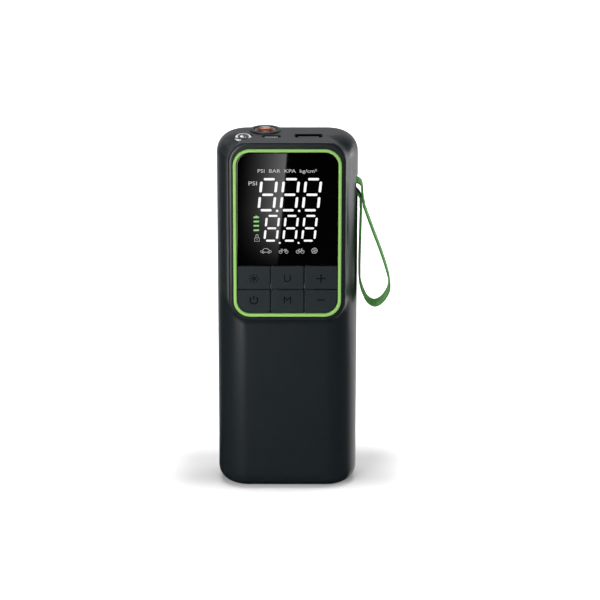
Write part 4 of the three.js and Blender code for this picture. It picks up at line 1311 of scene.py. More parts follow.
@dataclass
class FrontPanel:
    """The green trim ring, the display with its figures, and the six keys with their signs."""

    panel_radius: float = 6.5 * MM
    ring_radius: float = 8.5 * MM
    ring_band: float = 1.7 * MM
    slant: float = 0.1
    figure_depth: float = 0.05 * MM
    cap_depth: float = 1.0 * MM
    stem_size: Pair = (8 * MM, 6 * MM)
    bottom_row: float = 0.1
    signs: dict[str, str] = field(
        default_factory=lambda: {
            "key_power": "power",
            "key_mode": "M",
            "key_minus": "minus",
            "key_light": "sun",
            "key_unit": "U",
            "key_plus": "plus",
        }
    )

    def build(self) -> None:
        """Makes the panel's pieces."""
        self._ring()
        self._cover()
        for node, sign in self.signs.items():
            self._key(node, sign)
        self._figures()

    def _ring(self) -> None:
        """Makes the trim ring with its rounded face."""
        low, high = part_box("trim_ring")
        size, middle = high - low, (low + high) / 2
        form = self._band(size.x, size.z, self.ring_radius, self.ring_band, size.y)
        front = size.y - 0.01 * MM
        form.soften(0.6 * MM, 4, 60, lambda middle: middle.z > front)
        form.placed(Facing.FRONT.at(Vector((middle.x, high.y, middle.z))))
        form.piece("trim_band", Look.TRIM, replaces=["trim_ring"])

    @staticmethod
    def _band(width: float, height: float, radius: float, band: float, depth: float) -> Form:
        """A rounded frame of an even width.

        Args:
            width: its outer size along X.
            height: its outer size along Y.
            radius: its outer corner radius.
            band: how wide its band is.
            depth: how thick it is.

        Returns:
            The frame.
        """
        outer = Form.plate(width, height, radius, depth)
        bm = outer.bm
        caps = [face for face in bm.faces if abs(face.normal.z) > 0.99]
        bmesh.ops.inset_region(bm, faces=caps, thickness=band, use_even_offset=True)
        bmesh.ops.bridge_loops(bm, edges=[edge for face in caps for edge in face.edges])
        bmesh.ops.delete(bm, geom=caps, context="FACES_ONLY")
        bmesh.ops.recalc_face_normals(bm, faces=bm.faces)
        return outer

    def _cover(self) -> None:
        """Makes the black cover over the display."""
        low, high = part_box("display_lens")
        size, middle = high - low, (low + high) / 2
        radii = [self.panel_radius, self.panel_radius, 0.3 * MM, 0.3 * MM]
        form = Form.plate(size.x, size.z, radii, size.y)
        front = size.y - 0.01 * MM
        form.soften(0.18 * MM, 2, 60, lambda middle: middle.z > front)
        form.placed(Facing.FRONT.at(Vector((middle.x, high.y, middle.z))))
        form.piece("display_cover", Look.SCREEN, replaces=["display_lens"])

    def _key(self, node: str, sign: str) -> None:
        """Makes one key with its stem, and its sign.

        Args:
            node: the CAD node that the key stands for.
            sign: what its sign shows.
        """
        low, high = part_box(node)
        size, middle = high - low, (low + high) / 2
        at_bottom = low.z < self.bottom_row
        small = 0.4 * MM
        radii = [small] * 4
        if at_bottom:
            radii[2] = self.panel_radius if low.x < -20 * MM else small
            radii[3] = self.panel_radius if high.x > 20 * MM else small
        cap = Form.plate(size.x, size.z, radii, self.cap_depth)
        front = self.cap_depth - 0.01 * MM
        cap.soften(0.28 * MM, 3, 60, lambda middle: middle.z > front)
        cap.placed(Facing.FRONT.at(Vector((middle.x, low.y + self.cap_depth, middle.z))))
        stem = Form.plate(*self.stem_size, 1 * MM, size.y - self.cap_depth + 0.1 * MM)
        stem.placed(Facing.FRONT.at(Vector((middle.x, high.y, middle.z))))
        body = f"{node[4:]}_key"
        cap.merged(stem).piece(node + "_cap", Look.KEY, body, [node])
        mark = self._sign(sign)
        lift = 0.8 * MM if at_bottom else -0.4 * MM
        mark.placed(Facing.FRONT.at(Vector((middle.x, low.y, middle.z + lift))))
        mark.piece(node + "_sign", Look.SIGN, body)

    @staticmethod
    def _sign(sign: str) -> Form:
        """A key's sign, centred.

        Args:
            sign: sun, power, plus, minus, or a letter.

        Returns:
            The sign.
        """
        width, depth = 0.62 * MM, 0.06 * MM
        if sign == "plus":
            arm = 2.25 * MM
            paths = [[(-arm, 0), (arm, 0)], [(0, -arm), (0, arm)]]
        elif sign == "minus":
            paths = [[(-1.95 * MM, 0), (1.95 * MM, 0)]]
        elif sign == "power":
            paths = [arc((0, -0.1 * MM), 1.9 * MM, 130, 410, 26), [(0, 0.3 * MM), (0, 2.1 * MM)]]
        elif sign == "sun":
            paths = [circle((0, 0), 0.75 * MM)]
            for index in range(8):
                angle = math.radians(45 * index)
                ray = (math.cos(angle), math.sin(angle))
                inner, outer = 1.6 * MM, 2.35 * MM
                paths.append([(inner * ray[0], inner * ray[1]), (outer * ray[0], outer * ray[1])])
        else:
            return Marks.letters(sign, 3.7 * MM if sign == "M" else 3.4 * MM, 3.6 * MM, depth)
        return Marks.strokes(paths, width, depth)

    def _figures(self) -> None:
        """Makes the display's lit figures, laid out in millimetres."""
        white = [
            *self._number((1.2, 157.05), 10.87, 7.4, 15.9, 1.2, 0.3),
            *self._number((1.6, 139.8), 9.3, 6.05, 12.8, 1.0, 1.15),
        ]
        self._show(white, "figures_white", Look.WHITE_LIGHT)
        dim = [
            self._words("PSI  BAR  KPA  kg/cm²", (-0.1, 168.9), (29.0, 2.3)),
            self._words("PSI", (-17.0, 162.85), (4.1, 2.0)),
            self._icon("lock", (-15.0, 134.8)),
            self._icon("car", (-10.6, 128.2)),
            self._icon("motorcycle", (-1.9, 128.2)),
            self._icon("bicycle", (6.3, 128.2)),
            self._icon("ball", (13.4, 128.2)),
        ]
        self._show(dim, "figures_dim", Look.DIM_LIGHT)
        bars = [self._bar((-15.35, z), 2.8, 0.85, 0.2) for z in (145.45, 143.3, 141.1, 138.8)]
        bars.append(self._bar((-15.3, 145.95), 1.1, 0.6, 0.2))
        self._show(bars, "figures_green", Look.GREEN_LIGHT)

    @staticmethod
    def _show(forms: list[Form], name: str, look: Look) -> None:
        """Stands forms on the cover's face as one lit piece.

        Args:
            forms: the forms.
            name: the piece's name.
            look: its finish.
        """
        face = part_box("display_lens")[0].y - 0.01 * MM
        joined = forms[0].merged(*forms[1:])
        joined.placed(Facing.FRONT.at(Vector((0, face, 0))))
        joined.piece(name, look)

    def _bar(self, centre: Pair, width: float, height: float, slant: float) -> Form:
        """A rounded bar, in millimetres.

        Args:
            centre: its place across and up.
            width: its size across.
            height: its size up.
            slant: how far it leans for each unit of height.

        Returns:
            The bar.
        """
        radius = 0.48 * min(width, height) * MM
        form = Form.plate(width * MM, height * MM, radius, self.figure_depth)
        shear = Matrix(((1, slant, 0, 0), (0, 1, 0, 0), (0, 0, 1, 0), (0, 0, 0, 1)))
        place = Matrix.Translation(Vector((centre[0], centre[1], 0)) * MM)
        return form.placed(place @ shear)

    def _number(
        self, centre: Pair, pitch: float, width: float, height: float, bar: float, drop: float
    ) -> list[Form]:
        """Three seven-bar figures with two points, in millimetres.

        Args:
            centre: the middle of the middle figure.
            pitch: how far apart the figures are.
            width: between a figure's upright bars.
            height: between its top and bottom bars.
            bar: how thick a bar is.
            drop: how far a point lies under the bottom bars.

        Returns:
            The bars and points.
        """
        forms = []
        for place in (-1, 0, 1):
            x0 = centre[0] + place * pitch
            for level in (-0.5, 0, 0.5):
                x = x0 + self.slant * level * height
                forms.append(self._bar((x, centre[1] + level * height), width * 0.73, bar, 0))
            for side in (-0.5, 0.5):
                for level in (-0.25, 0.25):
                    x = x0 + side * width + self.slant * level * height
                    z = centre[1] + level * height
                    forms.append(self._bar((x, z), bar * 1.05, height * 0.345, self.slant))
            if place < 1:
                x = x0 + pitch / 2 - (0.5 * height + drop) * self.slant
                forms.append(self._bar((x, centre[1] - height / 2 - drop), bar, bar, 0))
        return forms

    def _words(self, text: str, centre: Pair, size: Pair) -> Form:
        """Letters on the display, in millimetres."""
        form = Marks.letters(text, size[0] * MM, size[1] * MM, self.figure_depth)
        return form.placed(Matrix.Translation(Vector((centre[0], centre[1], 0)) * MM))

    def _icon(self, kind: str, centre: Pair) -> Form:
        """A small outline sign on the display, in millimetres.

        Args:
            kind: lock, car, motorcycle, bicycle or ball.
            centre: its place across and up.

        Returns:
            The sign.
        """
        if kind == "lock":
            shackle = [(-0.6, 0.0), *arc((0, 1.3), 0.6, 180, 0, 10), (0.6, 0.0)]
            paths = [
                [(-1.3, -1.9), (1.3, -1.9), (1.3, 0.0), (-1.3, 0.0), (-1.3, -1.9)],
                shackle,
                [(0, -1.2), (0, -0.7)],
            ]
        elif kind == "car":
            roof = [(-1.9, 0.1), (-1.1, 1.1), (0.7, 1.2), (1.7, 0.2)]
            body = [(-2.8, -0.9), (-2.8, -0.1), *roof, (2.8, -0.1), (2.9, -0.9)]
            paths = [
                [*body, (2.1, -0.9)],
                [(-0.9, -0.9), (0.9, -0.9)],
                [(-2.8, -0.9), (-2.1, -0.9)],
                circle((-1.5, -0.95), 0.5, 12),
                circle((1.5, -0.95), 0.5, 12),
            ]
        elif kind == "motorcycle":
            paths = [
                circle((-1.6, -0.7), 0.85, 14),
                circle((1.6, -0.7), 0.85, 14),
                [(-1.6, -0.7), (-0.6, 0.3), (0.7, 0.3), (1.6, -0.7)],
                [(-1.5, 0.9), (-0.9, 0.9), (-0.6, 0.3)],
                [(0.4, 0.7), (1.8, 0.8)],
            ]
        elif kind == "bicycle":
            paths = [
                circle((-1.25, -0.6), 0.9, 14),
                circle((1.25, -0.6), 0.9, 14),
                [(-1.25, -0.6), (-0.5, 0.6), (0.8, 0.6), (0.1, -0.6), (-1.25, -0.6)],
                [(1.25, -0.6), (0.7, 1.2), (1.2, 1.3)],
                [(-0.8, 0.9), (-0.2, 0.9)],
            ]
        else:
            paths = [circle((0, 0), 1.5, 22), circle((0, 0), 0.5, 5)]
            for index in range(5):
                angle = math.radians(72 * index)
                ray = (math.cos(angle), math.sin(angle))
                paths.append([(0.5 * ray[0], 0.5 * ray[1]), (1.5 * ray[0], 1.5 * ray[1])])
        scaled = [[(x * 0.92 * MM, y * 0.92 * MM) for x, y in path] for path in paths]
        form = Marks.strokes(scaled, 0.21 * MM, self.figure_depth)
        return form.placed(Matrix.Translation(Vector((centre[0], centre[1], 0)) * MM))


# ---- Top fittings ---------------------------------------------------------------------------


@dataclass
class TopFittings:
    """The lamp, the two charging sockets and the air outlet's nozzle."""

    dome_radius: float = 3.95 * MM
    flange_radius: float = 4.3 * MM
    seat_radii: Pair = (4.02 * MM, 4.62 * MM)
    cup_radius: float = 3.5 * MM
    shade_disc_radius: float = 2.55 * MM
    # The black disc of painted shade in the lamp's cup.
    shade_disc_aside: Vector = field(default_factory=lambda: Vector((0, -0.9 * MM, 0)))
    light_radius: float = 0.75 * MM
    light_aside: Vector = field(default_factory=lambda: Vector((-0.7 * MM, -1.5 * MM, 0)))
    bush_drop: float = 0.1 * MM
    bush_radius: float = 4.7 * MM
    bore_radius: float = 1.2 * MM
    tail_radius: float = 2.2 * MM
    thread_radii: Pair = (4.1 * MM, 4.5 * MM)
    thread_pitch: float = 0.8 * MM
    lip_radii: Pair = (4.75 * MM, 5.4 * MM)
    seal_radius: float = 3.05 * MM
    seal_band: float = 0.64 * MM
    tongue_aside: Vector = field(default_factory=lambda: Vector((0, -0.2 * MM, 0.95 * MM)))

    def build(self) -> None:
        """Makes the fittings' pieces."""
        low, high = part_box("lamp_lens")
        rim = low.z + 0.8 * MM
        self._lamp_dome(low.z, rim, high.z - 0.7 * MM)
        self._lamp_inside(rim)
        self._bush()
        self._lip()
        self._seal()
        # The sockets' shells are bright metal painted dark for the shade inside their mouths.
        for node in ("wide_socket_shell", "slim_socket_shell"):
            shell = Form.copied(node).soften(0.1 * MM, 2, 50)
            shell.piece(f"{node}_metal", Look.SHADED, replaces=[node])
        self._tongue("wide_socket_tongue", 4, Look.CASE)
        self._tongue("slim_socket_tongue", 8, Look.SATIN)

    @staticmethod
    def _centre(node: str) -> Vector:
        """The middle of a node, at height 0."""
        low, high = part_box(node)
        return Vector(((low.x + high.x) / 2, (low.y + high.y) / 2, 0))

    def _lamp_dome(self, foot: float, rim: float, crown: float) -> None:
        """Makes the lamp's clear dome and its dark seat.

        Args:
            foot: the height of the dome's underside.
            rim: the height from which it rounds over.
            crown: the height of its top.
        """
        place = Facing.UP.at(self._centre("lamp_lens"))
        rounded = [
            (self.dome_radius * math.cos(a), rim + (crown - rim) * math.sin(a))
            for a in (math.radians(7.5 * k) for k in range(12))
        ]
        flange = self.flange_radius
        profile = [(0, foot), (flange, foot), (flange, rim - 0.2 * MM), *rounded, (0, crown)]
        dome = Form.turned(profile, 72).placed(place)
        dome.piece("lamp_dome", Look.CLEAR, replaces=["lamp_lens"])
        inner, outer = self.seat_radii
        profile = [
            (inner, rim - 0.15 * MM),
            (outer, rim - 0.15 * MM),
            (outer, rim + 0.3 * MM),
            (outer - 0.2 * MM, rim + 0.4 * MM),
            (inner, rim),
            (inner, rim - 0.15 * MM),
        ]
        Form.turned(profile, 72).placed(place).piece("lamp_seat", Look.BLACK)

    def _lamp_inside(self, rim: float) -> None:
        """Makes the dome's cup and light, which glow as painted light, and a black disc of painted
        shade.

        Args:
            rim: the height from which the dome rounds over.
        """
        middle = self._centre("lamp_lens")
        foot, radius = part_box("lamp_reflector")[0].z, self.cup_radius
        profile = [
            (0, foot),
            (radius, foot),
            (radius, rim - 0.1 * MM),
            (radius - 0.2 * MM, rim),
            (0, rim),
        ]
        # The cup glows as a painted reflection, since the dome keeps the lamps' light from it.
        cup = Form.turned(profile, 72).placed(Facing.UP.at(middle))
        cup.piece("lamp_cup", Look.GLOW, replaces=["lamp_reflector"])
        # A black disc put in the cup where only shade falls: painted shade.
        base, radius = rim + 0.1 * MM, self.shade_disc_radius
        profile = [(0, rim - MM), (radius, rim - MM), (radius, base), (0, base)]
        shade_disc = Form.turned(profile, 72).placed(Facing.UP.at(middle + self.shade_disc_aside))
        shade_disc.piece("lamp_painted_shade", Look.BLACK)
        # The light glows as painted light, standing in for the reflection seen inside the dome.
        radius = self.light_radius
        profile = [(0, base), (radius, base), (0.2 * MM, base + 0.9 * MM), (0, base + MM)]
        light = Form.turned(profile, 32).placed(Facing.UP.at(middle + self.light_aside))
        light.piece("lamp_light", Look.LAMP)

    def _bush(self) -> None:
        """Makes the nozzle's threaded bush, with its bore and its tail."""
        low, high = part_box("outlet_nozzle")
        top, tail = high.z - self.bush_drop, low.z
        seat, end = top - 10 * MM, top - 12 * MM
        outer = self.bush_radius
        profile = [
            (self.bore_radius, tail),
            (self.tail_radius, tail),
            (self.tail_radius, end),
            (outer, end),
            (outer, top - 1.1 * MM),
            (outer - 0.15 * MM, top - 1.1 * MM),
            (outer - 0.25 * MM, top - 1.25 * MM),
            *self._thread(top - 1.35 * MM, seat + 2 * MM),
            (4.0 * MM, seat),
            (self.bore_radius, seat),
            (self.bore_radius, tail),
        ]
        bush = Form.turned(profile, 96).placed(Facing.UP.at(self._centre("outlet_nozzle")))
        bush.piece("outlet_bush", Look.COPPER, replaces=["outlet_nozzle"], angle=50)

    def _thread(self, high: float, low: float) -> list[Pair]:
        """The bore's thread as even ridges, from the top down.

        Args:
            high: where it starts.
            low: where it ends.

        Returns:
            The profile's points.
        """
        ridge, groove = self.thread_radii
        points = []
        for index in range(int((high - low) / self.thread_pitch)):
            z = high - index * self.thread_pitch
            points += [(ridge, z), (groove, z - self.thread_pitch / 2)]
        return points

    def _lip(self) -> None:
        """Makes the steel lip round the bush."""
        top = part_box("outlet_nozzle")[1].z - self.bush_drop
        shoulder = top - 4.5 * MM
        inner, outer = self.lip_radii
        profile = [
            (inner, shoulder),
            (outer, shoulder),
            (outer, top - 0.75 * MM),
            (outer - 0.08 * MM, top - 0.62 * MM),
            (outer - 0.25 * MM, top - 0.55 * MM),
            (inner + 0.05 * MM, top - 0.75 * MM),
            (inner - 0.03 * MM, top - 1.05 * MM),
            (inner, top - 1.05 * MM),
            (inner, shoulder),
        ]
        lip = Form.turned(profile, 96).placed(Facing.UP.at(self._centre("outlet_nozzle")))
        lip.piece("outlet_lip", Look.STEEL, angle=50)

    def _seal(self) -> None:
        """Makes the rubber ring in the bush."""
        low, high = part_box("outlet_seal")
        middle, radius = (low.z + high.z) / 2, (high.z - low.z) / 2
        profile = [
            (self.seal_radius + self.seal_band * math.cos(a), middle + radius * math.sin(a))
            for a in (math.radians(30 * k) for k in range(13))
        ]
        ring = Form.turned(profile, 64).placed(Facing.UP.at(self._centre("outlet_seal")))
        ring.piece("outlet_ring", Look.RUBBER, replaces=["outlet_seal"])

    def _tongue(self, node: str, count: int, look: Look) -> None:
        """Makes a socket's tongue and its contacts.

        Args:
            node: the CAD node that the tongue stands for.
            count: how many contacts it has.
            look: the tongue's finish.
        """
        tongue = Form.copied(node).soften(0.12 * MM, 2, 50)
        tongue.placed(Matrix.Translation(self.tongue_aside))
        tongue.piece(f"{node}_moulding", look, replaces=[node])
        low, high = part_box(node)
        pitch = (high.x - low.x) / count
        half = pitch * 0.3
        contacts = []
        for index in range(count):
            x = low.x + (index + 0.5) * pitch
            corner = Vector((x - half, high.y - 0.22 * MM, high.z - 4.5 * MM))
            far = Vector((x + half, high.y + 0.05 * MM, high.z - 1.2 * MM))
            contacts.append(Form.block(corner, far).soften(0.02 * MM, 1))
        contacts[0].merged(*contacts[1:]).piece(f"{node}_contacts", Look.GOLD)


# ---- Wrist strap ----------------------------------------------------------------------------


def smooth_route(points: Sequence[Vector], spacing: float) -> list[Vector]:
    """A centripetal Catmull-Rom curve through points, stepped evenly.

    Args:
        points: what it passes through.
        spacing: about how far apart its steps are.

    Returns:
        The steps.
    """
    padded = [2 * points[0] - points[1], *points, 2 * points[-1] - points[-2]]
    dense: list[Vector] = []
    for index in range(1, len(padded) - 2):
        p0, p1, p2, p3 = padded[index - 1 : index + 3]
        t1 = math.sqrt((p1 - p0).length)
        t2 = t1 + math.sqrt((p2 - p1).length)
        t3 = t2 + math.sqrt((p3 - p2).length)
        for step in range(24):
            t = t1 + (t2 - t1) * step / 24
            a1 = p0 * ((t1 - t) / t1) + p1 * (t / t1)
            a2 = p1 * ((t2 - t) / (t2 - t1)) + p2 * ((t - t1) / (t2 - t1))
            a3 = p2 * ((t3 - t) / (t3 - t2)) + p3 * ((t - t2) / (t3 - t2))
            b1 = a1 * ((t2 - t) / t2) + a2 * (t / t2)
            b2 = a2 * ((t3 - t) / (t3 - t1)) + a3 * ((t - t1) / (t3 - t1))
            dense.append(b1 * ((t2 - t) / (t2 - t1)) + b2 * ((t - t1) / (t2 - t1)))
    dense.append(points[-1])
    lengths = [0.0]
    for a, b in zip(dense, dense[1:]):
        lengths.append(lengths[-1] + (b - a).length)
    count = max(2, round(lengths[-1] / spacing))
    route, at = [], 0
    for step in range(count + 1):
        want = lengths[-1] * step / count
        while at < len(lengths) - 2 and lengths[at + 1] < want:
            at += 1
        share = (want - lengths[at]) / max(lengths[at + 1] - lengths[at], 1e-12)
        route.append(dense[at].lerp(dense[at + 1], min(max(share, 0.0), 1.0)))
    return route


@dataclass
class WristStrap:
    """The green ribbon that hangs from a bar in the case's right side."""

    side: float = 35.0
    bar_x: float = 31.6
    bar_z: float = 157.0
    hug: float = 2.05
    width: float = 11 * MM
    thickness: float = 1.1 * MM
    seam_drop: float = 10.0
    seam_reach: float = 2.35
    lay: float = 0.66
    leg_reach: float = 1.2
    loop_drop: float = 62.4
    loop_bulge: float = 16.3
    stitch_rows: tuple[float, ...] = (-1.7, 0.0, 1.7)
    stitch_count: int = 7
    stitch_pitch: float = 1.3

    def build(self) -> None:
        """Makes the strap's pieces."""
        route = self.route()
        ribbon = self._ribbon(route)
        stitches = self._stitches()
        flat = (self.width, sum((b - a).length for a, b in zip(route, route[1:])))
        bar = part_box("strap_bar")
        half = (bar[1].y - bar[0].y) / 2
        radius = (bar[1].z - bar[0].z) / 2
        pin = Form.turned([(0, -half), (radius, -half), (radius, half), (0, half)], 32)
        pin.soften(0.15 * MM, 2, 50).placed(Facing.FRONT.at((bar[0] + bar[1]) / 2))
        pin.piece("strap_pin", Look.STEEL, replaces=["strap_bar"])

    def _at(self, x: float, z: float) -> Vector:
        """A point by its reach from the case's side and its height over the bar."""
        return Vector((self.side + x, 0.0, self.bar_z + z)) * MM

    def route(self) -> list[Vector]:
        """Leads the ribbon's middle from the seam round the bar, back, and round the hand loop.

        Returns:
            The steps of the route.
        """
        over = []
        for index in range(5):
            angle = math.pi * (0.5 + index / 4)
            x = self.bar_x + self.hug * math.cos(angle)
            over.append(Vector((x, 0.0, self.bar_z + self.hug * math.sin(angle))) * MM)
        reach, drop, loop = self.seam_reach, self.seam_drop, self.loop_drop
        points = [
            self._at(reach + self.lay, -drop),
            self._at(2.3, -4),
            self._at(1.7, 0.8),
            self._at(-0.6, self.hug + 0.3),
            *over,
            self._at(-1, -self.hug - 1),
            self._at(1.4, -6.2),
            self._at(reach - self.lay, -drop),
            self._at(self.leg_reach + 0.3, -drop - 12),
            self._at(self.leg_reach, -loop + 18.4),
            self._at(self.leg_reach + 0.3, -loop + 12),
            self._at(self.leg_reach + 2, -loop + 6.2),
            self._at(self.leg_reach + 4.4, -loop + 1.8),
            self._at(9, -loop),
            self._at(12.6, -loop + 1.8),
            self._at(self.loop_bulge - 0.3, -loop + 7.6),
            self._at(self.loop_bulge - 0.2, -loop + 13),
            self._at(self.loop_bulge - 3.8, -loop + 25.8),
            self._at(self.loop_bulge - 8.6, -loop + 38.9),
            self._at(reach + self.lay, -drop - 0.4),
        ]
        return smooth_route(points, 0.9 * MM)

    def _ribbon(self, route: list[Vector]) -> bpy.types.Object:
        """Makes the ribbon, drawn out step by step.

        Args:
            route: the steps that its middle follows.

        Returns:
            The ribbon.
        """
        form = Form()
        bm = form.bm
        along = bm.verts.layers.float.new("along")
        across = bm.verts.layers.float.new("across")
        bmesh.ops.create_grid(bm, x_segments=12, y_segments=1, size=0.5)
        bmesh.ops.scale(bm, vec=(self.width, self.thickness, 1), verts=bm.verts)
        for vert in bm.verts:
            edge = abs(vert.co.x) / (self.width / 2)
            vert.co.y *= 1 - 0.35 * edge**10
            vert[across] = vert.co.x
        previous = Matrix.Identity(4)
        faces = bm.faces[:]
        travelled = 0.0
        for index, point in enumerate(route):
            before, after = route[max(index - 1, 0)], route[min(index + 1, len(route) - 1)]
            travelled += (point - before).length
            ahead = (after - before).normalized()
            normal = ahead.cross(Vector((0, 1, 0)))
            turn = Matrix((Vector((0, 1, 0)), normal, ahead)).transposed()
            current = Matrix.Translation(point) @ turn.to_4x4()
            if index:
                edges = {edge for face in faces for edge in face.edges}
                made = bmesh.ops.extrude_face_region(bm, geom=[*faces, *edges])
                faces = [item for item in made["geom"] if isinstance(item, bmesh.types.BMFace)]
            verts = list({vert for face in faces for vert in face.verts})
            bmesh.ops.transform(bm, matrix=current @ previous.inverted(), verts=verts)
            for vert in verts:
                vert[along] = travelled
            previous = current
        cloth = bm.loops.layers.uv.new("cloth")
        for face in bm.faces:
            for loop in face.loops:
                loop[cloth].uv = (loop.vert[across], loop.vert[along])
        bmesh.ops.recalc_face_normals(bm, faces=bm.faces)
        return form.piece("strap_ribbon", Look.RIBBON, "strap", ["wrist_strap"], 60)

    def _stitches(self) -> bpy.types.Object:
        """Makes the stitching that closes the seam, on both faces.

        Returns:
            The stitches.
        """
        forms = []
        for face in (-1, 1):
            x = self.side + self.seam_reach + face * (self.lay + 0.56)
            for row in self.stitch_rows:
                for index in range(self.stitch_count):
                    y = (index - (self.stitch_count - 1) / 2) * self.stitch_pitch
                    stitch = Form.plate(1.0 * MM, 0.3 * MM, 0.14 * MM, 0.16 * MM)
                    stitch.soften(0.06 * MM, 1, 60)
                    place = Vector((x, y, self.bar_z - self.seam_drop + row)) * MM
                    turn = Facing.SIDE.at(place)
                    if face < 0:
                        turn = turn @ Matrix.Rotation(math.pi, 4, "Y")
                    forms.append(stitch.placed(turn))
        return forms[0].merged(*forms[1:]).piece("strap_stitches", Look.THREAD, "strap")


# ---- Inner works ----------------------------------------------------------------------------


class InnerWorks:
    """The pieces inside the case, which keep their CAD form and get their finishes."""

    LOOKS = {
        Look.BLACK: ["display_module", "pressure_sensor", "motor_end_cap"],
        Look.SILICONE: ["keypad_mat", "air_tube"],
        Look.BOARD: ["control_board", "lamp_board", "power_board"],
        Look.BRASS: ["motor_pinion"],
        Look.STEEL: [
            "nozzle_nut",
            "outlet_valve",
            "gudgeon_pin",
            "rod_bearing",
            "crank_pin",
            "crank_shaft",
            "crank_bush",
            "motor_can",
            "motor_shaft",
        ],
        Look.RUBBER: ["piston_seal"],
        Look.CRADLE: ["cell_cradle_lower", "cell_cradle_upper"],
        Look.SLEEVE: ["battery_cell_left", "battery_cell_right"],
        Look.CAST: ["pump_frame", "pump_cylinder", "cylinder_head", "connecting_rod"],
        Look.NYLON: ["piston", "crank_gear"],
    }

    def build(self) -> None:
        """Gives each CAD node that stays its material."""
        for look, nodes in self.LOOKS.items():
            for node in nodes:
                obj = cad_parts[node]
                for slot in obj.material_slots:
                    slot.material = look.material()
                log.info("%s: %s", node, look.name.lower())


# ---- Studio ---------------------------------------------------------------------------------


@dataclass(frozen=True)
class Softbox:
    """A soft lamp that looks at the object.

    Its place is given round the object, from the camera's side towards +X, and up, in degrees.
    """

    name: str
    around: float
    up: float
    away: float
    size: Pair
    power: float


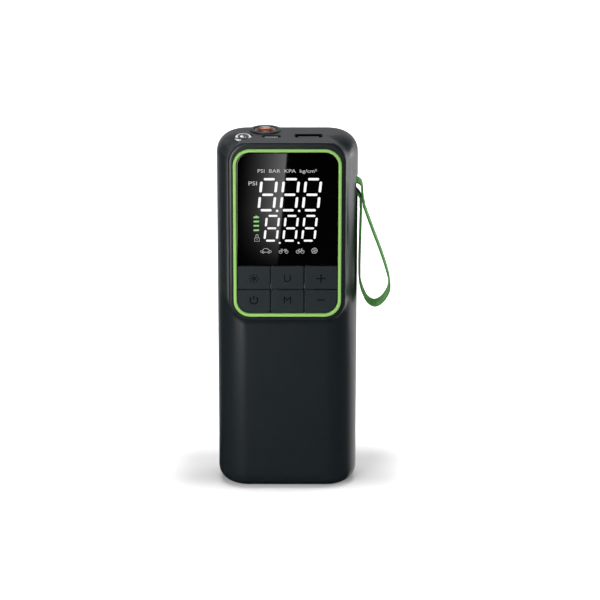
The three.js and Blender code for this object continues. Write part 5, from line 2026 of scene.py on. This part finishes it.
@dataclass
class Studio:
    """The camera, the soft lamps, the pale floor and the white world."""

    target: Vector = field(default_factory=lambda: Vector((0, 0, 90)) * MM)
    camera_place: Vector = field(default_factory=lambda: Vector((0, -1.3201, 0.5465)))
    pitch: float = 19.0
    lens: float = 165.79
    shift: Pair = (0.021, 0.01275)
    world_light: float = 0.2
    sky_mirrored: float = 0.45
    floor_mirrored: float = 0.3
    # Where the floor's glow dips round the case: a painted shadow.
    painted_shadow_middle: Pair = (0.0, 0.012)
    painted_shadow_half: Pair = (0.044, 0.010)
    painted_shadow_fade: float = 0.055
    painted_shadow_glow: float = 0.0
    card_place: Vector = field(default_factory=lambda: Vector((-0.0235, -0.2, 0.094)))
    card_size: Pair = (0.0411, 0.1)
    card_slant: float = 0.0806
    card_light: float = 3.15
    card_span: float = 0.0285
    card_fade: float = 2.15
    card_foot: Pair = (0.056, 0.092)
    card_foot_fade: float = 1.8
    case_half: float = 0.03
    pale_heading: Pair = (0.3, 0.95)
    pale_sector: Pair = (0.25, 0.85)
    lamps: tuple[Softbox, ...] = (
        Softbox("ceiling", 0, 90, 0.81, (0.6, 0.6), 5.2),
        Softbox("high_box", 0, 65, 1.3, (0.6, 0.6), 1.1),
        Softbox("left_box", -120, 42, 1.2, (0.6, 0.6), 0.75),
        Softbox("left_strip", -20, 3, 0.6, (0.12, 0.36), 1.2),
        Softbox("side_strip", -45, 3, 0.6, (0.12, 0.36), 0.3),
        Softbox("left_tube", -44, 0, 0.38, (0.05, 0.24), 0.34),
        Softbox("face_tube", -28, 0, 0.38, (0.05, 0.24), 0.52),
        Softbox("right_strip", 112, 3, 0.6, (0.12, 0.36), 0.75),
        Softbox("rear_strip", 132, 3, 0.6, (0.12, 0.36), 0.25),
        Softbox("right_tube", 95, 0, 0.38, (0.05, 0.24), 0.3),
        Softbox("corner_tube", 107, 0, 0.38, (0.05, 0.24), 0.3),
    )

    def build(self) -> None:
        """Makes the studio."""
        scene = bpy.context.scene
        scene.view_settings.view_transform = "Standard"
        self._camera(scene)
        self._world(scene)
        self._floor()
        self._card()
        for lamp in self.lamps:
            self._lamp(lamp)

    def _camera(self, scene: bpy.types.Scene) -> None:
        """Stands the camera where the photograph was taken from.

        Args:
            scene: the scene.
        """
        data = bpy.data.cameras.new("camera")
        data.lens = self.lens
        data.sensor_width = 36
        data.shift_x, data.shift_y = self.shift
        data.clip_start, data.clip_end = 0.05, 50
        camera = bpy.data.objects.new("camera", data)
        camera.location = self.camera_place
        camera.rotation_euler = (math.radians(90 - self.pitch), 0, 0)
        scene.collection.objects.link(camera)
        scene.camera = camera

    def _lamp(self, lamp: Softbox) -> None:
        """Hangs one soft lamp that looks at the object.

        Args:
            lamp: the lamp.
        """
        data = bpy.data.lights.new(lamp.name, "AREA")
        data.shape = "RECTANGLE"
        data.size, data.size_y = lamp.size
        data.energy = lamp.power
        around, up = math.radians(lamp.around), math.radians(lamp.up)
        level = math.cos(up)
        away = Vector((math.sin(around) * level, -math.cos(around) * level, math.sin(up)))
        obj = bpy.data.objects.new(lamp.name, data)
        obj.location = self.target + lamp.away * away
        obj.rotation_euler = (-away).to_track_quat("-Z", "Y").to_euler()
        bpy.context.scene.collection.objects.link(obj)

    def _world(self, scene: bpy.types.Scene) -> None:
        """Makes the world: white where it is seen, and a soft grey where it lights.

        Args:
            scene: the scene.
        """
        world = bpy.data.worlds.new("world")
        world.use_nodes = True
        graph = Graph(world.node_tree)
        seen, mirrored = graph.seen(), graph.ray("Glossy")
        direction = graph.add("ShaderNodeTexCoord", output="Generated")
        behind = graph.add("ShaderNodeSeparateXYZ", inputs={0: direction}, output="Y")
        sky = behind.ramp(0.0, 0.8, 0.0, self.sky_mirrored)
        lights = (1 - seen) * (1 - mirrored) * self.world_light
        inputs = {"Color": (1, 1, 1), "Strength": seen + mirrored * sky + lights}
        graph.end("ShaderNodeOutputWorld", graph.add("ShaderNodeBackground", inputs=inputs))
        scene.world = world

    def _card(self) -> None:
        """Stands the fading card that the display reflects, which nothing else sees."""
        mesh = bpy.data.meshes.new("card")
        bm = bmesh.new()
        bmesh.ops.create_grid(bm, x_segments=1, y_segments=1, size=0.5)
        bmesh.ops.scale(bm, vec=(self.card_size[0], self.card_size[1], 1), verts=bm.verts)
        slant = Matrix(((1, -self.card_slant, 0, 0), (0, 1, 0, 0), (0, 0, 1, 0), (0, 0, 0, 1)))
        bmesh.ops.transform(bm, matrix=Facing.BACK.value.to_4x4() @ slant, verts=bm.verts)
        bmesh.ops.translate(bm, vec=self.card_place, verts=bm.verts)
        bm.to_mesh(mesh)
        bm.free()
        card = bpy.data.objects.new("card", mesh)
        bpy.context.scene.collection.objects.link(card)
        card.visible_camera = card.visible_diffuse = card.visible_shadow = False
        card.visible_transmission = False
        material = bpy.data.materials.new("card_glow")
        material.use_nodes = True
        graph = Graph(material.node_tree)
        edge = self.card_place.x + self.card_size[0] / 2
        lean = (graph.along("Z") - self.card_place.z) * self.card_slant
        inward = graph.along("X") - lean
        across = inward.linear(edge - self.card_span, edge) ** self.card_fade
        up = graph.along("Z").linear(*self.card_foot) ** self.card_foot_fade
        light = across * up * self.card_light * graph.ray("Glossy")
        glow = graph.add("ShaderNodeEmission", inputs={"Strength": light})
        graph.end("ShaderNodeOutputMaterial", glow)
        mesh.materials.append(material)

    def _floor(self) -> None:
        """Lays the pale floor, with the lamps' soft shadow and a painted shadow round the case."""
        mesh = bpy.data.meshes.new("floor")
        bm = bmesh.new()
        bmesh.ops.create_grid(bm, x_segments=1, y_segments=1, size=4)
        bmesh.ops.translate(bm, vec=(0, 0, -0.05 * MM), verts=bm.verts)
        bm.to_mesh(mesh)
        bm.free()
        floor = bpy.data.objects.new("floor", mesh)
        bpy.context.scene.collection.objects.link(floor)
        material = bpy.data.materials.new("floor_paper")
        material.use_nodes = True
        graph = Graph(material.node_tree)
        mirrored, behind = graph.ray("Glossy"), self._behind(graph)
        # The camera sees the floor's glow dip round the case: a painted shadow on top of the
        # lamps' real one.
        seen_glow_with_painted_shadow = graph.seen() * self._past_painted_shadow(graph)
        mirrored_glow = mirrored * behind * self.floor_mirrored
        pale = graph.mix(graph.noise(0.4, 2), (0.82, 0.82, 0.82), (0.84, 0.84, 0.84))
        glow = graph.mix(seen_glow_with_painted_shadow.highest(mirrored_glow), (0, 0, 0), (1, 1, 1))
        graph.surface(
            {
                "Base Color": graph.mix(mirrored * (1 - behind), pale, (0.012, 0.012, 0.012)),
                "Roughness": 0.9,
                "Specular IOR Level": 0.0,
                "Emission Color": glow,
                "Emission Strength": 1.0,
            }
        )
        mesh.materials.append(material)

    def _behind(self, graph: Graph) -> Wire:
        """Finds the floor behind the case and to its right, which mirror rays see pale.

        Args:
            graph: the floor's graph.

        Returns:
            1 on that floor and 0 on the rest, with a soft border.
        """
        along, back = graph.along("X"), graph.along("Y")
        aside = (along.absolute() - self.case_half).highest(0)
        away = (aside**2 + back**2 + 0.000001) ** 0.5
        heading = back * self.pale_heading[1] + along * self.pale_heading[0]
        return (heading * away**-1).ramp(*self.pale_sector)

    def _past_painted_shadow(self, graph: Graph) -> Wire:
        """Fades the floor's glow from a painted shadow round the case out to full light.

        Args:
            graph: the floor's graph.

        Returns:
            0 in the painted shadow's middle and 1 past its border.
        """
        along, back = graph.along("X"), graph.along("Y")
        past_x = ((along - self.painted_shadow_middle[0]).absolute() - self.painted_shadow_half[0]).highest(0)
        past_y = ((back - self.painted_shadow_middle[1]).absolute() - self.painted_shadow_half[1]).highest(0)
        past = (past_x**2 + past_y**2) ** 0.5
        return past.ramp(0, self.painted_shadow_fade, self.painted_shadow_glow, 1)


def main() -> None:
    """Builds the studio and every sub-assembly."""
    logging.basicConfig(level=logging.INFO, format="%(name)s %(message)s")
    Studio().build()
    Case().build()
    FrontPanel().build()
    TopFittings().build()
    WristStrap().build()
    InnerWorks().build()
    log.info("sizes written")


if __name__ == "__main__":
    main()
